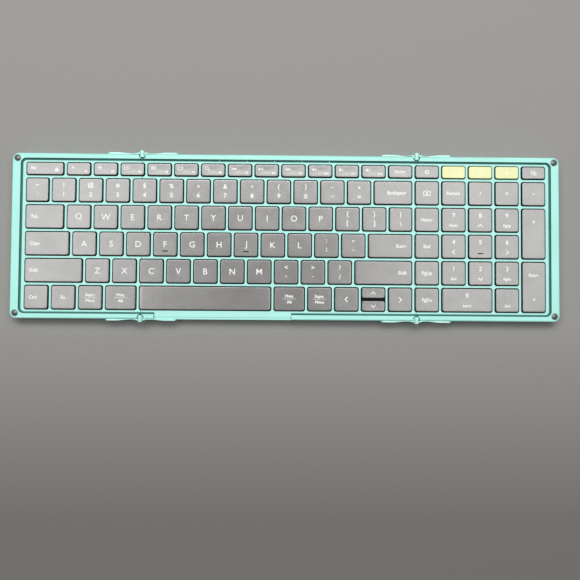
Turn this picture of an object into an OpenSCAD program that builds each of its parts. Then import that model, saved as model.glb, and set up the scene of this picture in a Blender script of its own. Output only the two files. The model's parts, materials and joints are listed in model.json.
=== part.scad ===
// Three-panel folding keyboard, lying open and flat.
// The origin is the middle of the footprint, on the surface that the feet stand on.
// +X runs along the rows to the right, +Y to the rear edge and +Z up.

/* [Keys] */
// Distance from one key to the next
key_pitch = 19; // [15.8:0.2:23]
// Depth of the low function row
fn_pitch = 11.2; // [9.2:0.2:13.6]
// Strip of deck between two key openings
web = 1.3; // [1:0.1:2]
// Gap between a keycap and its opening
key_gap = 0.7; // [0.45:0.05:0.9]
// Corner radius of a keycap
key_corner = 1.5; // [0.8:0.1:1.8]
// Height of a keycap
key_height = 3; // [2.6:0.1:3.6]
// Bevel along the top edges of a keycap
key_edge = 0.35; // [0.2:0.05:0.5]
// Top wall of a keycap
key_wall = 1; // [0.8:0.1:1.2]
// Side wall of a keycap
skirt_wall = 0.9; // [0.7:0.1:1.1]
// How far a key travels down
key_travel = 1.2; // [1:0.1:1.5]
// How far a keycap stands out of the deck
key_proud = 1.3; // [1:0.1:1.5]
// Gap between the two half keys that share one opening
half_key_gap = 2.1; // [1.6:0.1:2.4]
// Height of the finger marks on three home keys
mark_height = 0.2; // [0.1:0.05:0.25]

/* [Case] */
// Case beyond the key field on the left and right
side_margin = 8.75; // [8:0.25:11]
// Case beyond the key field at the front and rear
end_margin = 5.4; // [5:0.1:7]
// Radius of the four case corners, seen from above
case_corner = 4.3; // [3:0.1:6]
// Outer wall
case_wall = 1.4; // [1.2:0.1:1.6]
// Floor of the bottom covers
floor_wall = 1.2; // [1:0.1:1.5]
// Free height over the floor for the battery and the board
inner_height = 3.1; // [3:0.1:3.8]
// Thickness of the key deck
deck_wall = 1.2; // [1:0.1:1.4]
// Height of the rim over the deck
rim_rise = 1.6; // [1.4:0.1:2]
// Width of the rim's flat top on the left and right
rim_side = 5.9; // [5.4:0.1:7.1]
// Width of the rim's flat top at the front and rear
rim_end = 3.5; // [3.3:0.1:3.9]
// Width of the slope from the rim down to the deck
rim_slope = 1.4; // [1:0.1:1.5]
// Upright step at the inner edge of the rim, above the slope
rim_step = 0.8; // [0.5:0.1:1]
// Width of the seam between the rim and the slope
rim_seam = 0.3; // [0.2:0.05:0.4]
// Radius of the recess corners inside the rim
recess_corner = 4; // [2.5:0.1:5]
// Rounding of the outer edges
edge_round = 1; // [0.6:0.1:1.2]
// Height of the feet under the case
foot_height = 0.6; // [0.5:0.1:1]
// Clearance between two parts that fit into each other
fit_gap = 0.15; // [0.1:0.05:0.2]

/* [Folding] */
// Place of the left fold, in key pitches from the left end of the key field
fold_left_at = 4.363; // [4.33:0.003:4.39]
// Gap between two panels that lie flat
seam = 0.3; // [0.2:0.05:0.4]
// Gap between the two side panels when both are folded in
fold_room = 1.2; // [0.8:0.1:2]
// Gap between the rims of two folded panels
rim_room = 0.5; // [0.4:0.1:0.8]
// Diameter of the hinge barrels
barrel_d = 3.2; // [2.9:0.1:3.8]
// Diameter of the hinge pins
pin_d = 1.4; // [1.2:0.1:1.6]
// Clearance all round a hinge pin
pin_play = 0.05; // [0.03:0.01:0.08]
// How far a barrel stands out of the case wall
barrel_out = 2; // [1.8:0.1:2.2]
// Length of a barrel segment
barrel_seg = 2.3; // [2:0.1:2.4]
// Length of a hinge leaf from its axis
leaf_reach = 25; // [22:0.5:30]
// Height of the screwed pad of a hinge leaf
pad_height = 4.5; // [4:0.1:5]
// Thickness of the screwed pad of a hinge leaf
pad_wall = 1.1; // [1:0.1:1.8]

/* [Inside] */
// Thickness of the steel plates under the keys
plate_wall = 0.5; // [0.4:0.05:0.6]
// Thickness of the rubber dome sheets
sheet_wall = 0.2; // [0.15:0.05:0.25]
// Length of the battery
battery_w = 90; // [60:1:100]
// Depth of the battery
battery_d = 40; // [30:1:41]
// Thickness of the battery
battery_h = 2.8; // [2.2:0.1:2.9]
// Length of the main board
board_w = 54; // [50:1:70]
// Width of the ribbon cables
ribbon_w = 10; // [8:0.5:11]
// Diameter of the magnets
magnet_d = 5.4; // [4.5:0.1:5.5]
// Diameter of the screw threads
screw_d = 1.6; // [1.4:0.1:1.8]

/* [Hidden] */
$fn = 32;
EPS = 0.01;
MINT = [0.60, 0.93, 0.88];
MINT_DEEP = [0.50, 0.82, 0.77];
CHARCOAL = [0.36, 0.36, 0.37];
YELLOW = [0.96, 0.97, 0.62];
BLACK = [0.08, 0.08, 0.09];
STEEL = [0.72, 0.73, 0.74];
SOCKET_WHITE = [0.90, 0.90, 0.88];
LINK_BLACK = [0.10, 0.10, 0.11];
DOME_GREY = [0.16, 0.16, 0.17];
PLATE_GREY = [0.24, 0.24, 0.25];
BOARD_GREEN = [0.07, 0.32, 0.22];
COPPER = [0.80, 0.50, 0.22];

// Heights, from the surface upwards
floor_z = foot_height + floor_wall;
plate_z = floor_z + inner_height;
sheet_z = plate_z + plate_wall;
dome_z = sheet_z + sheet_wall;
key_z = dome_z + key_travel + 0.1;
key_top = key_z + key_height;
deck_top = key_top - key_proud;
deck_z = deck_top - deck_wall;
rim_top = deck_top + rim_rise;
axis_z = max(rim_top, key_top + mark_height) + rim_room / 2;
part_z = floor_z + 0.6;
lip_top = part_z + 1.6;
lip_wall = 0.9;
// Height over the deck at which the seam inside the rim ends
seam_floor = 0.35;

// Rows of keys from the rear to the front, as runs of width, group and rows tall
function run(n, width, group, tall = 1) = [for (i = [1:n]) [width, group, tall]];
ROWS = [
    concat(run(1, 1.5, "function"), run(13, 1, "function"),
        run(1, 1, "navigation"), run(3, 1, "channel"), run(1, 1, "navigation")),
    concat(run(1, 0.96, "number"), run(12, 1, "number"), run(1, 1.54, "backspace"),
        run(1, 1, "navigation"), run(4, 1, "pad")),
    concat(run(1, 1.53, "tab"), run(12, 1, "letter"), run(1, 0.97, "letter"),
        run(1, 1, "navigation"), run(3, 1, "pad"), run(1, 1, "plus", 2)),
    concat(run(1, 1.75, "caps"), run(11, 1, "letter"), run(1, 1.75, "enter"),
        run(1, 1, "navigation"), run(3, 1, "pad")),
    concat(run(1, 2.25, "left_shift"), run(10, 1, "letter"), run(1, 2.25, "right_shift"),
        run(1, 1, "navigation"), run(3, 1, "pad"), run(1, 1, "pad_enter", 2)),
    concat(run(3, 1, "modifier"), run(1, 1.25, "modifier"), run(1, 5, "space"),
        run(1, 1.25, "modifier"), run(1, 1, "modifier"), run(1, 1, "arrow"),
        run(1, 1, "half_arrows"), run(1, 1, "arrow"),
        run(1, 1, "navigation"), run(1, 2, "zero"), run(1, 1, "pad"))
];
// Home keys with a finger mark, as row and place in the row
MARKED = [[3, 4], [3, 7], [3, 15]];
function start_of(row, i) = i == 0 ? 0 : start_of(row, i - 1) + row[i - 1][0];
function row_width(row) = start_of(row, len(row));
field_w = row_width(ROWS[0]) * key_pitch;
field_d = fn_pitch + (len(ROWS) - 1) * key_pitch;
case_w = field_w + 2 * side_margin;
case_d = field_d + 2 * end_margin;
field_x = -field_w / 2;
field_y = field_d / 2;
function row_line(r) = field_y - (r == 0 ? 0 : fn_pitch + (r - 1) * key_pitch);

// Folds and panels: the two side panels together are a little shorter than the middle one
fold_left = field_x + fold_left_at * key_pitch;
fold_right = fold_left + (case_w + fold_room) / 2;
LEFT = 0;
MIDDLE = 1;
RIGHT = 2;
PANELS = [[-case_w / 2, fold_left], [fold_left, fold_right], [fold_right, case_w / 2]];
// Folds that a panel has, each as its place and the side on which the panel lies
FOLDS = [[[fold_left, -1]], [[fold_left, 1], [fold_right, -1]], [[fold_right, 1]]];
function panel_at(x) = x < fold_left ? LEFT : x < fold_right ? MIDDLE : RIGHT;

// Cells of the key field: corners, group, panel, row and place in the row
CELLS = [for (r = [0:len(ROWS) - 1]) for (i = [0:len(ROWS[r]) - 1])
    let (k = ROWS[r][i], x0 = field_x + start_of(ROWS[r], i) * key_pitch, x1 = x0 + k[0] * key_pitch)
    [x0, row_line(r + k[2]), x1, row_line(r), k[1], panel_at((x0 + x1) / 2), r, i]];
function inset(b, d) = [b[0] + d, b[1] + d, b[2] - d, b[3] - d];
function mid_x(b) = (b[0] + b[2]) / 2;
function mid_y(b) = (b[1] + b[3]) / 2;
cap_inset = web / 2 + key_gap;
// Keycaps of a cell: one, or two half keys that share the opening
function caps_of(c) =
    let (b = inset(c, cap_inset), y = mid_y(b))
    c[4] != "half_arrows" ? [b]
    : [[b[0], b[1], b[2], y - half_key_gap / 2], [b[0], y + half_key_gap / 2, b[2], b[3]]];
function cells_of(p, groups) = [for (c = CELLS) for (g = groups) if (c[5] == p && c[4] == g) c];
function cells_near(p) = [for (c = CELLS) if (c[2] > PANELS[p][0] - 1 && c[0] < PANELS[p][1] + 1) c];
function panel_caps(p) = [for (c = CELLS) if (c[5] == p) for (b = caps_of(c)) b];

// Scissor links and domes under a keycap
link_span = 12;
link_depth = 11;
link_bar = 0.9;
link_wall = 0.7;
link_rise = 1.5;
link_mid = dome_z + link_rise / 2 + link_wall / 2 + 0.15;
plunger_z = key_top - key_wall - 0.9;
dome_base = 5;
function link_w(b) = min(link_span, b[2] - b[0] - 2 * skirt_wall - 1.6);
function link_d(b) = min(link_depth, b[3] - b[1] - 2 * skirt_wall - 0.8);

// Keycaps and plate tongues that reach over a fold, and the room they sweep as the fold moves
pocket_gap = 0.35;
tongue_edge = 0.5;
function reach_over(b, f, s) = s > 0 ? b[2] - f : f - b[0];
function tongue_reach(b, f, s) = s * (mid_x(b) - f) + link_w(b) / 2 + tongue_edge;
function swept(reach, low_z, z) =
    let (r = norm([reach, axis_z - low_z])) r > axis_z - z ? sqrt(r * r - pow(axis_z - z, 2)) : 0;
function sweep_at(b, f, s, z) =
    let (t = tongue_reach(b, f, s))
    max(swept(reach_over(b, f, s), key_z - key_travel, z), t > 0 ? swept(t, plate_z, z) : 0);
// Cells that reach into panel p over its fold [f, s], where they need room at height z
function visitors(p, fold, z) =
    [for (c = CELLS) if (c[5] == p - fold[1])
        let (b = inset(c, cap_inset))
        if (reach_over(b, fold[0], fold[1]) > 0 && sweep_at(b, fold[0], fold[1], z) > 0) c];

// Screws, posts and other places
boss_d = 3.8;
boss_in = case_wall + fit_gap + boss_d / 2 + 0.35;
fold_boss = 12;
side_boss = 22;
BOSS_X = [[-case_w / 2 + side_boss, fold_left - fold_boss],
    [fold_left + fold_boss, (fold_left + fold_right) / 2, fold_right - fold_boss],
    [fold_right + fold_boss, case_w / 2 - side_boss]];
function bosses(p) = [for (x = BOSS_X[p]) for (s = [-1, 1]) [x, s * (case_d / 2 - boss_in)]];
post_d = 1.4;
// Posts stand at every second crossing of the webs, away from the folds
function posts(p) = [for (c = CELLS)
    if (c[5] == p && c[7] % 2 == 1 && c[1] > -field_y + 1
        && c[0] > PANELS[p][0] + 4 && c[0] < PANELS[p][1] - 4) [c[0], c[1]]];
bumper_in = 3.7;
bumper_d = 4.3;
bumper_proud = min(0.4, 2 * (axis_z - rim_top) - 0.1);
bumper_seat = 0.5;
end_wall = 1.2;
notch_z = axis_z - barrel_d / 2 - 2.2;
notch_half = barrel_d / 2 + 1.15;
notch_depth = 3.6;
ribbon_y = (row_line(2) + row_line(3)) / 2;
ribbon_wall = 0.15;
ribbon_z = floor_z + 1.5;
ribbon_end = 14;
board_x = fold_left + ribbon_end + 4;
board_wall = 0.8;
board_z = ribbon_z - 0.2 - board_wall;
board_y0 = ribbon_y - ribbon_w / 2 - 3;
board_y1 = case_d / 2 - case_wall - lip_wall - fit_gap - 0.6;
BOARD_STUDS = [for (x = [board_x + 8, board_x + board_w - 8], y = [board_y0 + 3, board_y1 - 6]) [x, y]];
usb_x = board_x + 24;
usb_w = 8.94;
usb_h = 3.26;
usb_d = 6.6;
usb_wall = 0.3;
usb_z = floor_z + 0.1 + usb_h / 2;
battery_x = (fold_left + fold_right) / 2 - 12;
battery_y1 = board_y0 - 7;
MIDDLE_RIBS = [battery_x + battery_w / 2 + 10, battery_x + battery_w / 2 + 24];

// Box with corners b between two heights
module block(b, z0, z1) {
    translate([b[0], b[1], z0]) cube([b[2] - b[0], b[3] - b[1], z1 - z0]);
}

// Rectangle with true round corners
module rounded(b, r) {
    translate([b[0] + r, b[1]]) square([b[2] - b[0] - 2 * r, b[3] - b[1]]);
    translate([b[0], b[1] + r]) square([b[2] - b[0], b[3] - b[1] - 2 * r]);
    for (x = [b[0] + r, b[2] - r], y = [b[1] + r, b[3] - r])
        translate([x, y]) circle(r);
}

// Slab with true round corners between two heights
module slab(b, r, z0, z1) {
    translate([0, 0, z0]) linear_extrude(z1 - z0) rounded(b, r);
}

// Plan of a panel, drawn in by edge at the case outline and by joint at its folds
module panel_plan(p, edge, joint) {
    r = max(case_corner - edge, 0.4);
    y = case_d / 2 - edge;
    x0 = PANELS[p][0] + (p == LEFT ? edge + r : joint);
    x1 = PANELS[p][1] - (p == RIGHT ? edge + r : joint);
    translate([x0, -y]) square([x1 - x0, 2 * y]);
    if (p != MIDDLE) {
        x = p == LEFT ? x0 : x1;
        translate([p == LEFT ? x - r : x, -y + r]) square([r, 2 * y - 2 * r]);
        for (s = [-1, 1])
            translate([x, s * (y - r)]) circle(r);
    }
}

// Ring that follows the case outline of a panel and is open at its folds
module panel_ring(p, edge, wall, joint, z0, z1) {
    difference() {
        translate([0, 0, z0]) linear_extrude(z1 - z0) panel_plan(p, edge, joint);
        translate([0, 0, z0 - 1]) linear_extrude(z1 - z0 + 2) panel_plan(p, edge + wall, -2);
    }
}

// Profile carried round the whole case outline; its x runs inwards from the outline
module around_case() {
    x = case_w / 2 - case_corner;
    y = case_d / 2 - case_corner;
    for (sx = [-1, 1], sy = [-1, 1])
        mirror([sx > 0 ? 0 : 1, 0, 0]) mirror([0, sy > 0 ? 0 : 1, 0]) translate([x, y, 0])
            rotate_extrude(angle = 90) translate([case_corner, 0]) mirror([1, 0]) children();
    for (s = [0, 1]) mirror([s, 0, 0]) translate([case_w / 2, y, 0])
        rotate([90, 0, 0]) linear_extrude(2 * y) mirror([1, 0]) children();
    for (s = [0, 1]) mirror([0, s, 0]) translate([-x, case_d / 2, 0])
        rotate([90, 0, 90]) linear_extrude(2 * x) mirror([1, 0]) children();
}

// What an outer edge loses to its rounding, at height z with the case below or above it
module edge_cut(z, up) {
    r = edge_round;
    around_case() translate([0, z]) mirror([0, up ? 0 : 1]) difference() {
        translate([-0.2, -r]) square([r + 0.2, r + 0.2]);
        translate([r, -r]) circle(r);
    }
}

// Recess inside the rim: an upright step, then a slope down to the deck, and a seam between the two
module recess_cut() {
    w = case_w / 2 - rim_side;
    d = case_d / 2 - rim_end;
    r = recess_corner;
    low = rim_slope;
    h = rim_rise - rim_step;
    top = rim_rise + 1;
    for (sx = [-1, 1], sy = [-1, 1]) translate([sx * (w - r), sy * (d - r), deck_top]) {
        cylinder(h = h + EPS, r1 = r - low, r2 = r);
        translate([0, 0, h]) cylinder(h = top - h, r = r);
    }
    difference() {
        slab([-w, -d, w, d], r, deck_top + seam_floor, deck_top + top);
        slab(inset([-w, -d, w, d], rim_seam), r - rim_seam, deck_top, deck_top + top + 1);
    }
    // Straight sides, as two crossing prisms with sloping flanks
    translate([0, 0, deck_top]) rotate([90, 0, 0]) translate([0, 0, -(d - r)]) linear_extrude(2 * (d - r))
        polygon([[-w + low, 0], [w - low, 0], [w, h], [w, top], [-w, top], [-w, h]]);
    translate([0, 0, deck_top]) rotate([90, 0, 90]) translate([0, 0, -(w - r)]) linear_extrude(2 * (w - r))
        polygon([[-d + low, 0], [d - low, 0], [d, h], [d, top], [-d, top], [-d, h]]);
}

// Notch in rims and decks for a hinge barrel at fold f, on the rear or the front wall; it narrows inwards
module hinge_notch(f, s) {
    end_r = notch_half - 0.4;
    straight = notch_depth - end_r;
    translate([f, s * case_d / 2, notch_z]) mirror([0, s > 0 ? 1 : 0, 0]) linear_extrude(axis_z) {
        polygon([[-notch_half, -1], [notch_half, -1], [end_r, straight], [-end_r, straight]]);
        translate([0, straight]) circle(end_r);
    }
}

// Room that visiting keycaps and tongues need in panel p at height z
module pocket_plan(p, z) {
    for (fold = FOLDS[p]) for (c = visitors(p, fold, z)) {
        b = inset(c, web / 2);
        reach = sweep_at(inset(c, cap_inset), fold[0], fold[1], z) + pocket_gap;
        x = fold[1] > 0 ? fold[0] - 1 : fold[0] - reach;
        translate([x, b[1]]) square([reach + 1, b[3] - b[1]]);
    }
}

// Corners of a panel where the end walls of its rim stand
module end_wall_plan(p, grow) {
    for (fold = FOLDS[p]) for (s = [-1, 1]) {
        w = seam / 2 + end_wall + grow;
        translate([fold[1] > 0 ? fold[0] - 1 : fold[0] - w, s > 0 ? case_d / 2 - end_margin : -case_d / 2 - 1])
            square([w + 1, end_margin + 1]);
    }
}

// Outline of a plate between the walls of a panel
module inner_plan(p, edge, joint) {
    difference() {
        panel_plan(p, edge, joint);
        end_wall_plan(p, fit_gap);
        pocket_plan(p, plate_z);
    }
}

// Bottom covers

// Wall along a fold, set back where a key of the next panel needs room
module seam_wall(p, fold) {
    f = fold[0];
    s = fold[1];
    y = case_d / 2 - end_margin - fit_gap;
    x0 = f + s * seam / 2;
    difference() {
        union() {
            block([min(x0, x0 + s * end_wall), -y, max(x0, x0 + s * end_wall), y], floor_z - EPS, plate_z);
            for (c = visitors(p, fold, plate_z)) {
                b = inset(c, web / 2);
                x1 = f + s * (sweep_at(inset(c, cap_inset), f, s, plate_z) + pocket_gap + end_wall);
                block([min(x0, x1), b[1] - end_wall, max(x0, x1), b[3] + end_wall], floor_z - EPS, plate_z);
            }
        }
        translate([0, 0, floor_z]) linear_extrude(inner_height + 1) pocket_plan(p, plate_z);
    }
}

// Ribs that stiffen the floor and carry the support plate
module floor_ribs(p) {
    rib = 0.9;
    x0 = PANELS[p][0] + (p == LEFT ? 10 : ribbon_end + 4);
    x1 = PANELS[p][1] - (p == RIGHT ? 10 : ribbon_end + 4);
    y = case_d / 2 - 12;
    if (p != MIDDLE) {
        for (r = [1, 3, 4, 5])
            block([x0, row_line(r) - rib / 2, x1, row_line(r) + rib / 2], floor_z - EPS, plate_z);
        for (t = [0, 0.5, 1])
            block([x0 + t * (x1 - x0) - rib / 2, -y, x0 + t * (x1 - x0) + rib / 2, y], floor_z - EPS, plate_z);
    } else {
        battery = [battery_x - battery_w / 2, battery_y1 - battery_d, battery_x + battery_w / 2, battery_y1];
        bay = inset(battery, -0.5);
        difference() {
            block(inset(bay, -rib), floor_z - EPS, plate_z);
            block(bay, floor_z, plate_z + 1);
            // Way out for the battery leads
            block([battery[0] + 6, bay[3] - 1, battery[0] + 12, bay[3] + 3], floor_z + 0.6, plate_z + 1);
        }
        for (x = MIDDLE_RIBS)
            block([x, -y, x + rib, battery_y1], floor_z - EPS, plate_z);
        block([board_x + board_w + 4, row_line(1) - 6, x1, row_line(1) - 6 + rib], floor_z - EPS, plate_z);
    }
}

// Studs under the main board
module board_studs() {
    for (q = BOARD_STUDS)
        translate([q[0], q[1], floor_z - EPS]) {
            cylinder(h = board_z - floor_z + EPS, d = 3.4);
            cylinder(h = board_z - floor_z + board_wall + 0.4, d = 1.6);
        }
}

// Opening in the rear wall for the charging socket
module usb_cut(grow) {
    r = usb_h / 2 + grow;
    w = usb_w / 2 - usb_h / 2;
    translate([usb_x, case_d / 2 + 1, usb_z]) rotate([90, 0, 0]) linear_extrude(case_wall + lip_wall + 2) {
        translate([-w, -r]) square([2 * w, 2 * r]);
        for (s = [-1, 1])
            translate([s * w, 0]) circle(r);
    }
}

// Places of the rubber feet of a panel, as boxes in plan
function feet_of(p) = [for (s = [-1, 1])
    let (x0 = PANELS[p][0] + 28, x1 = PANELS[p][1] - 28, y = s * (case_d / 2 - 13))
    [x0, y - 2.5, x1, y + 2.5]];
foot_sink = 0.4;

module bottom_cover(p) {
    difference() {
        union() {
            translate([0, 0, foot_height]) linear_extrude(floor_wall) panel_plan(p, 0, seam / 2);
            panel_ring(p, 0, case_wall, seam / 2, floor_z - EPS, part_z);
            panel_ring(p, case_wall + fit_gap, lip_wall, seam / 2 + end_wall + fit_gap, floor_z - EPS, lip_top);
            for (fold = FOLDS[p])
                seam_wall(p, fold);
            for (b = bosses(p))
                translate([b[0], b[1], floor_z - EPS]) cylinder(h = inner_height + EPS, d = boss_d);
            floor_ribs(p);
            if (p == MIDDLE)
                board_studs();
        }
        edge_cut(foot_height, false);
        for (b = bosses(p)) translate([b[0], b[1], 0]) {
            cylinder(h = plate_z + 1, d = screw_d + 0.3);
            cylinder(h = foot_height + 1.1, d = 2 * screw_d);
        }
        for (b = feet_of(p))
            slab(inset(b, -fit_gap), 2.5, 0, foot_height + foot_sink);
        for (fold = FOLDS[p])
            block([fold[0] - 2.5, ribbon_y - ribbon_w / 2 - 0.5, fold[0] + 2.5, ribbon_y + ribbon_w / 2 + 0.5],
                ribbon_z - 0.4, ribbon_z + ribbon_wall + 0.4);
        if (p == MIDDLE)
            usb_cut(fit_gap);
    }
}
module left_bottom_cover() color(MINT) bottom_cover(LEFT);
module middle_bottom_cover() color(MINT) bottom_cover(MIDDLE);
module right_bottom_cover() color(MINT) bottom_cover(RIGHT);

// Rim frames

// Lowered stretch of the front rim, for a thumb below the space bar
thumb_x0 = fold_left + 0.49 * key_pitch;
thumb_x1 = thumb_x0 + 5.11 * key_pitch;
module thumb_cut() {
    y1 = -case_d / 2 + rim_end + rim_slope + 0.5;
    slope = 0.3;
    translate([0, y1, 0]) rotate([90, 0, 0]) linear_extrude(end_margin + 3) polygon([
        [thumb_x0 + slope, deck_top], [thumb_x1 - slope, deck_top],
        [thumb_x1, rim_top + 1], [thumb_x0, rim_top + 1]]);
}

// Five small notches along the inner edge of the rear rim, one key pitch apart
module rear_ticks() {
    x0 = field_x + 7.23 * key_pitch;
    for (i = [0:4])
        translate([x0 + i * 1.03 * key_pitch, case_d / 2 - rim_end - rim_slope, deck_top])
            rotate([0, 0, 45]) cube([0.8, 0.8, rim_rise + 1]);
}

// Seats of the rubber bumpers in the outer corners of a side panel
function bumpers_of(p) = [for (s = [-1, 1]) [(p == LEFT ? -1 : 1) * (case_w / 2 - bumper_in), s * (case_d / 2 - bumper_in)]];

module rim_frame(p) {
    difference() {
        union() {
            panel_ring(p, 0, case_wall, seam / 2, part_z, rim_top);
            translate([0, 0, deck_top]) linear_extrude(rim_rise) panel_plan(p, 0, seam / 2);
            translate([0, 0, part_z]) linear_extrude(deck_top - part_z) intersection() {
                panel_plan(p, 0, seam / 2);
                end_wall_plan(p, 0);
            }
        }
        recess_cut();
        edge_cut(rim_top, true);
        for (fold = FOLDS[p]) for (s = [-1, 1])
            hinge_notch(fold[0], s);
        if (p != MIDDLE) for (b = bumpers_of(p)) translate([b[0], b[1], 0]) {
            translate([0, 0, rim_top - bumper_seat]) cylinder(h = 1, d = bumper_d + 0.9);
            translate([0, 0, deck_top - 1]) cylinder(h = 3, d = bumper_d / 2 + 0.2);
        }
        for (fold = FOLDS[p]) for (s = [-1, 1])
            leaf_screw_hole(fold, s);
        if (p == MIDDLE) {
            thumb_cut();
            rear_ticks();
            usb_cut(fit_gap);
        }
    }
}
module left_rim_frame() color(MINT) rim_frame(LEFT);
module middle_rim_frame() color(MINT) rim_frame(MIDDLE);
module right_rim_frame() color(MINT) rim_frame(RIGHT);

// Key decks

module key_deck(p) {
    rib = 0.8;
    x0 = PANELS[p][0] - 1;
    x1 = PANELS[p][1] + 1;
    difference() {
        union() {
            difference() {
                translate([0, 0, deck_z]) linear_extrude(deck_wall) difference() {
                    panel_plan(p, case_wall + fit_gap, seam / 2);
                    end_wall_plan(p, fit_gap);
                }
                for (c = cells_near(p))
                    slab(inset(c, web / 2), key_corner + 0.3, deck_z - 1, deck_top + 1);
            }
            // Ribs under the webs, and a skirt along the case wall
            translate([0, 0, dome_z]) linear_extrude(deck_z - dome_z + EPS) difference() {
                intersection() {
                    inner_plan(p, case_wall + fit_gap, seam / 2 + 0.5);
                    translate([max(x0, field_x - rib / 2), -field_y - rib / 2])
                        square([min(x1, field_x + field_w + rib / 2) - max(x0, field_x - rib / 2), field_d + rib]);
                }
                for (c = cells_near(p))
                    translate([c[0] + rib / 2, c[1] + rib / 2]) square([c[2] - c[0] - rib, c[3] - c[1] - rib]);
            }
            panel_ring(p, case_wall + fit_gap, 1, seam / 2 + end_wall + 2 * fit_gap, dome_z, deck_z + EPS);
            for (b = bosses(p))
                translate([b[0], b[1], sheet_z]) cylinder(h = deck_z - sheet_z + EPS, d = boss_d - 0.2);
            for (q = posts(p))
                translate([q[0], q[1], plate_z]) cylinder(h = deck_z - plate_z + EPS, d = post_d);
        }
        for (b = bosses(p))
            translate([b[0], b[1], sheet_z - 1]) cylinder(h = deck_top - 0.4 - sheet_z + 1, d = screw_d + 0.1);
        for (fold = FOLDS[p]) for (s = [-1, 1])
            hinge_notch(fold[0], s);
    }
}
module left_key_deck() color(MINT_DEEP) key_deck(LEFT);
module middle_key_deck() color(MINT_DEEP) key_deck(MIDDLE);
module right_key_deck() color(MINT_DEEP) key_deck(RIGHT);

// Support plates and dome sheets

// Tongues that carry the links of keys which stand across a fold
module tongue_plan(p) {
    for (fold = FOLDS[p]) for (b = panel_caps(p)) {
        reach = tongue_reach(b, fold[0], -fold[1]);
        if (reach > 0 && abs(mid_x(b) - fold[0]) < key_pitch) {
            x = fold[1] > 0 ? fold[0] - reach : fold[0] - 3;
            d = link_d(b) + 2 * tongue_edge;
            translate([x, mid_y(b) - d / 2]) square([reach + 3, d]);
        }
    }
}

// Slot that lets the ribbon cable up to the dome sheet
function ribbon_slots(p) = [for (fold = FOLDS[p]) if (p != MIDDLE)
    [fold[0] + fold[1] * ribbon_end - 0.6, ribbon_y - ribbon_w / 2 - 0.4,
        fold[0] + fold[1] * ribbon_end + 0.6, ribbon_y + ribbon_w / 2 + 0.4]];

module support_plate(p) {
    color(PLATE_GREY) translate([0, 0, plate_z]) linear_extrude(plate_wall) difference() {
        union() {
            inner_plan(p, case_wall + 2 * fit_gap, seam / 2 + 0.3);
            tongue_plan(p);
        }
        for (b = bosses(p))
            translate(b) circle(d = screw_d + 0.3);
        for (q = posts(p))
            translate(q) circle(d = post_d + 0.1);
        for (b = ribbon_slots(p))
            translate([b[0], b[1]]) square([b[2] - b[0], b[3] - b[1]]);
        if (p == MIDDLE)
            translate([usb_x - usb_w / 2 - 0.6, case_d / 2 - usb_d - 0.6]) square([usb_w + 1.2, usb_d + 2]);
    }
}
module left_support_plate() support_plate(LEFT);
module middle_support_plate() support_plate(MIDDLE);
module right_support_plate() support_plate(RIGHT);

// Hollow dome under a keycap
module dome(b) {
    d = min(dome_base, link_d(b) - 2 * link_bar - 0.5);
    h = plunger_z - 0.05 - dome_z;
    translate([mid_x(b), mid_y(b), dome_z]) difference() {
        cylinder(h = h, d1 = d, d2 = 0.7 * d);
        translate([0, 0, -EPS]) cylinder(h = h - 0.6, d1 = d - 0.8, d2 = 0.7 * d - 0.7);
    }
}

module dome_sheet(p) {
    color(DOME_GREY) {
        translate([0, 0, sheet_z]) linear_extrude(sheet_wall) difference() {
            inner_plan(p, case_wall + 5 * fit_gap, seam / 2 + 0.8);
            for (b = bosses(p))
                translate(b) circle(d = boss_d + 0.2);
            for (q = posts(p))
                translate(q) circle(d = post_d + 0.4);
            if (p == MIDDLE)
                translate([usb_x - usb_w / 2 - 1, case_d / 2 - usb_d - 0.8]) square([usb_w + 2, usb_d + 2]);
        }
        for (b = panel_caps(p))
            dome(b);
    }
}
module left_dome_sheet() dome_sheet(LEFT);
module middle_dome_sheet() dome_sheet(MIDDLE);
module right_dome_sheet() dome_sheet(RIGHT);

// Scissor links

module link_ring(w, d, tilt) {
    rotate([tilt, 0, 0]) translate([0, 0, -link_wall / 2]) linear_extrude(link_wall) difference() {
        square([w, d], center = true);
        square([w - 2 * link_bar, d - 2 * link_bar], center = true);
    }
}

// Steel wire that keeps a wide key level
module stabiliser(length) {
    wire = 0.8;
    y = link_depth / 2 + 0.8;
    h = link_mid + 0.9;
    arm = y - 1;
    drop = 1.6;
    translate([-length / 2, y, h]) rotate([0, 90, 0]) cylinder(h = length, d = wire);
    for (s = [-1, 1]) translate([s * length / 2, y, h]) {
        sphere(d = wire);
        rotate([90 + atan(drop / arm), 0, 0]) cylinder(h = norm([arm, drop]), d = wire);
    }
}

module scissor_links(p) {
    for (b = panel_caps(p)) translate([mid_x(b), mid_y(b), 0]) {
        w = link_w(b);
        d = link_d(b);
        tilt = asin(min(0.42, link_rise / d));
        color(LINK_BLACK) translate([0, 0, link_mid]) {
            link_ring(w, d, tilt);
            link_ring(w - 2 * link_bar - 0.5, d, -tilt);
        }
        if (b[2] - b[0] > 1.8 * key_pitch)
            color(STEEL) stabiliser(b[2] - b[0] - 8);
        if (b[3] - b[1] > 1.5 * key_pitch)
            color(STEEL) rotate([0, 0, 90]) stabiliser(b[3] - b[1] - 8);
    }
}
module left_scissor_links() scissor_links(LEFT);
module middle_scissor_links() scissor_links(MIDDLE);
module right_scissor_links() scissor_links(RIGHT);

// Keycaps

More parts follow.
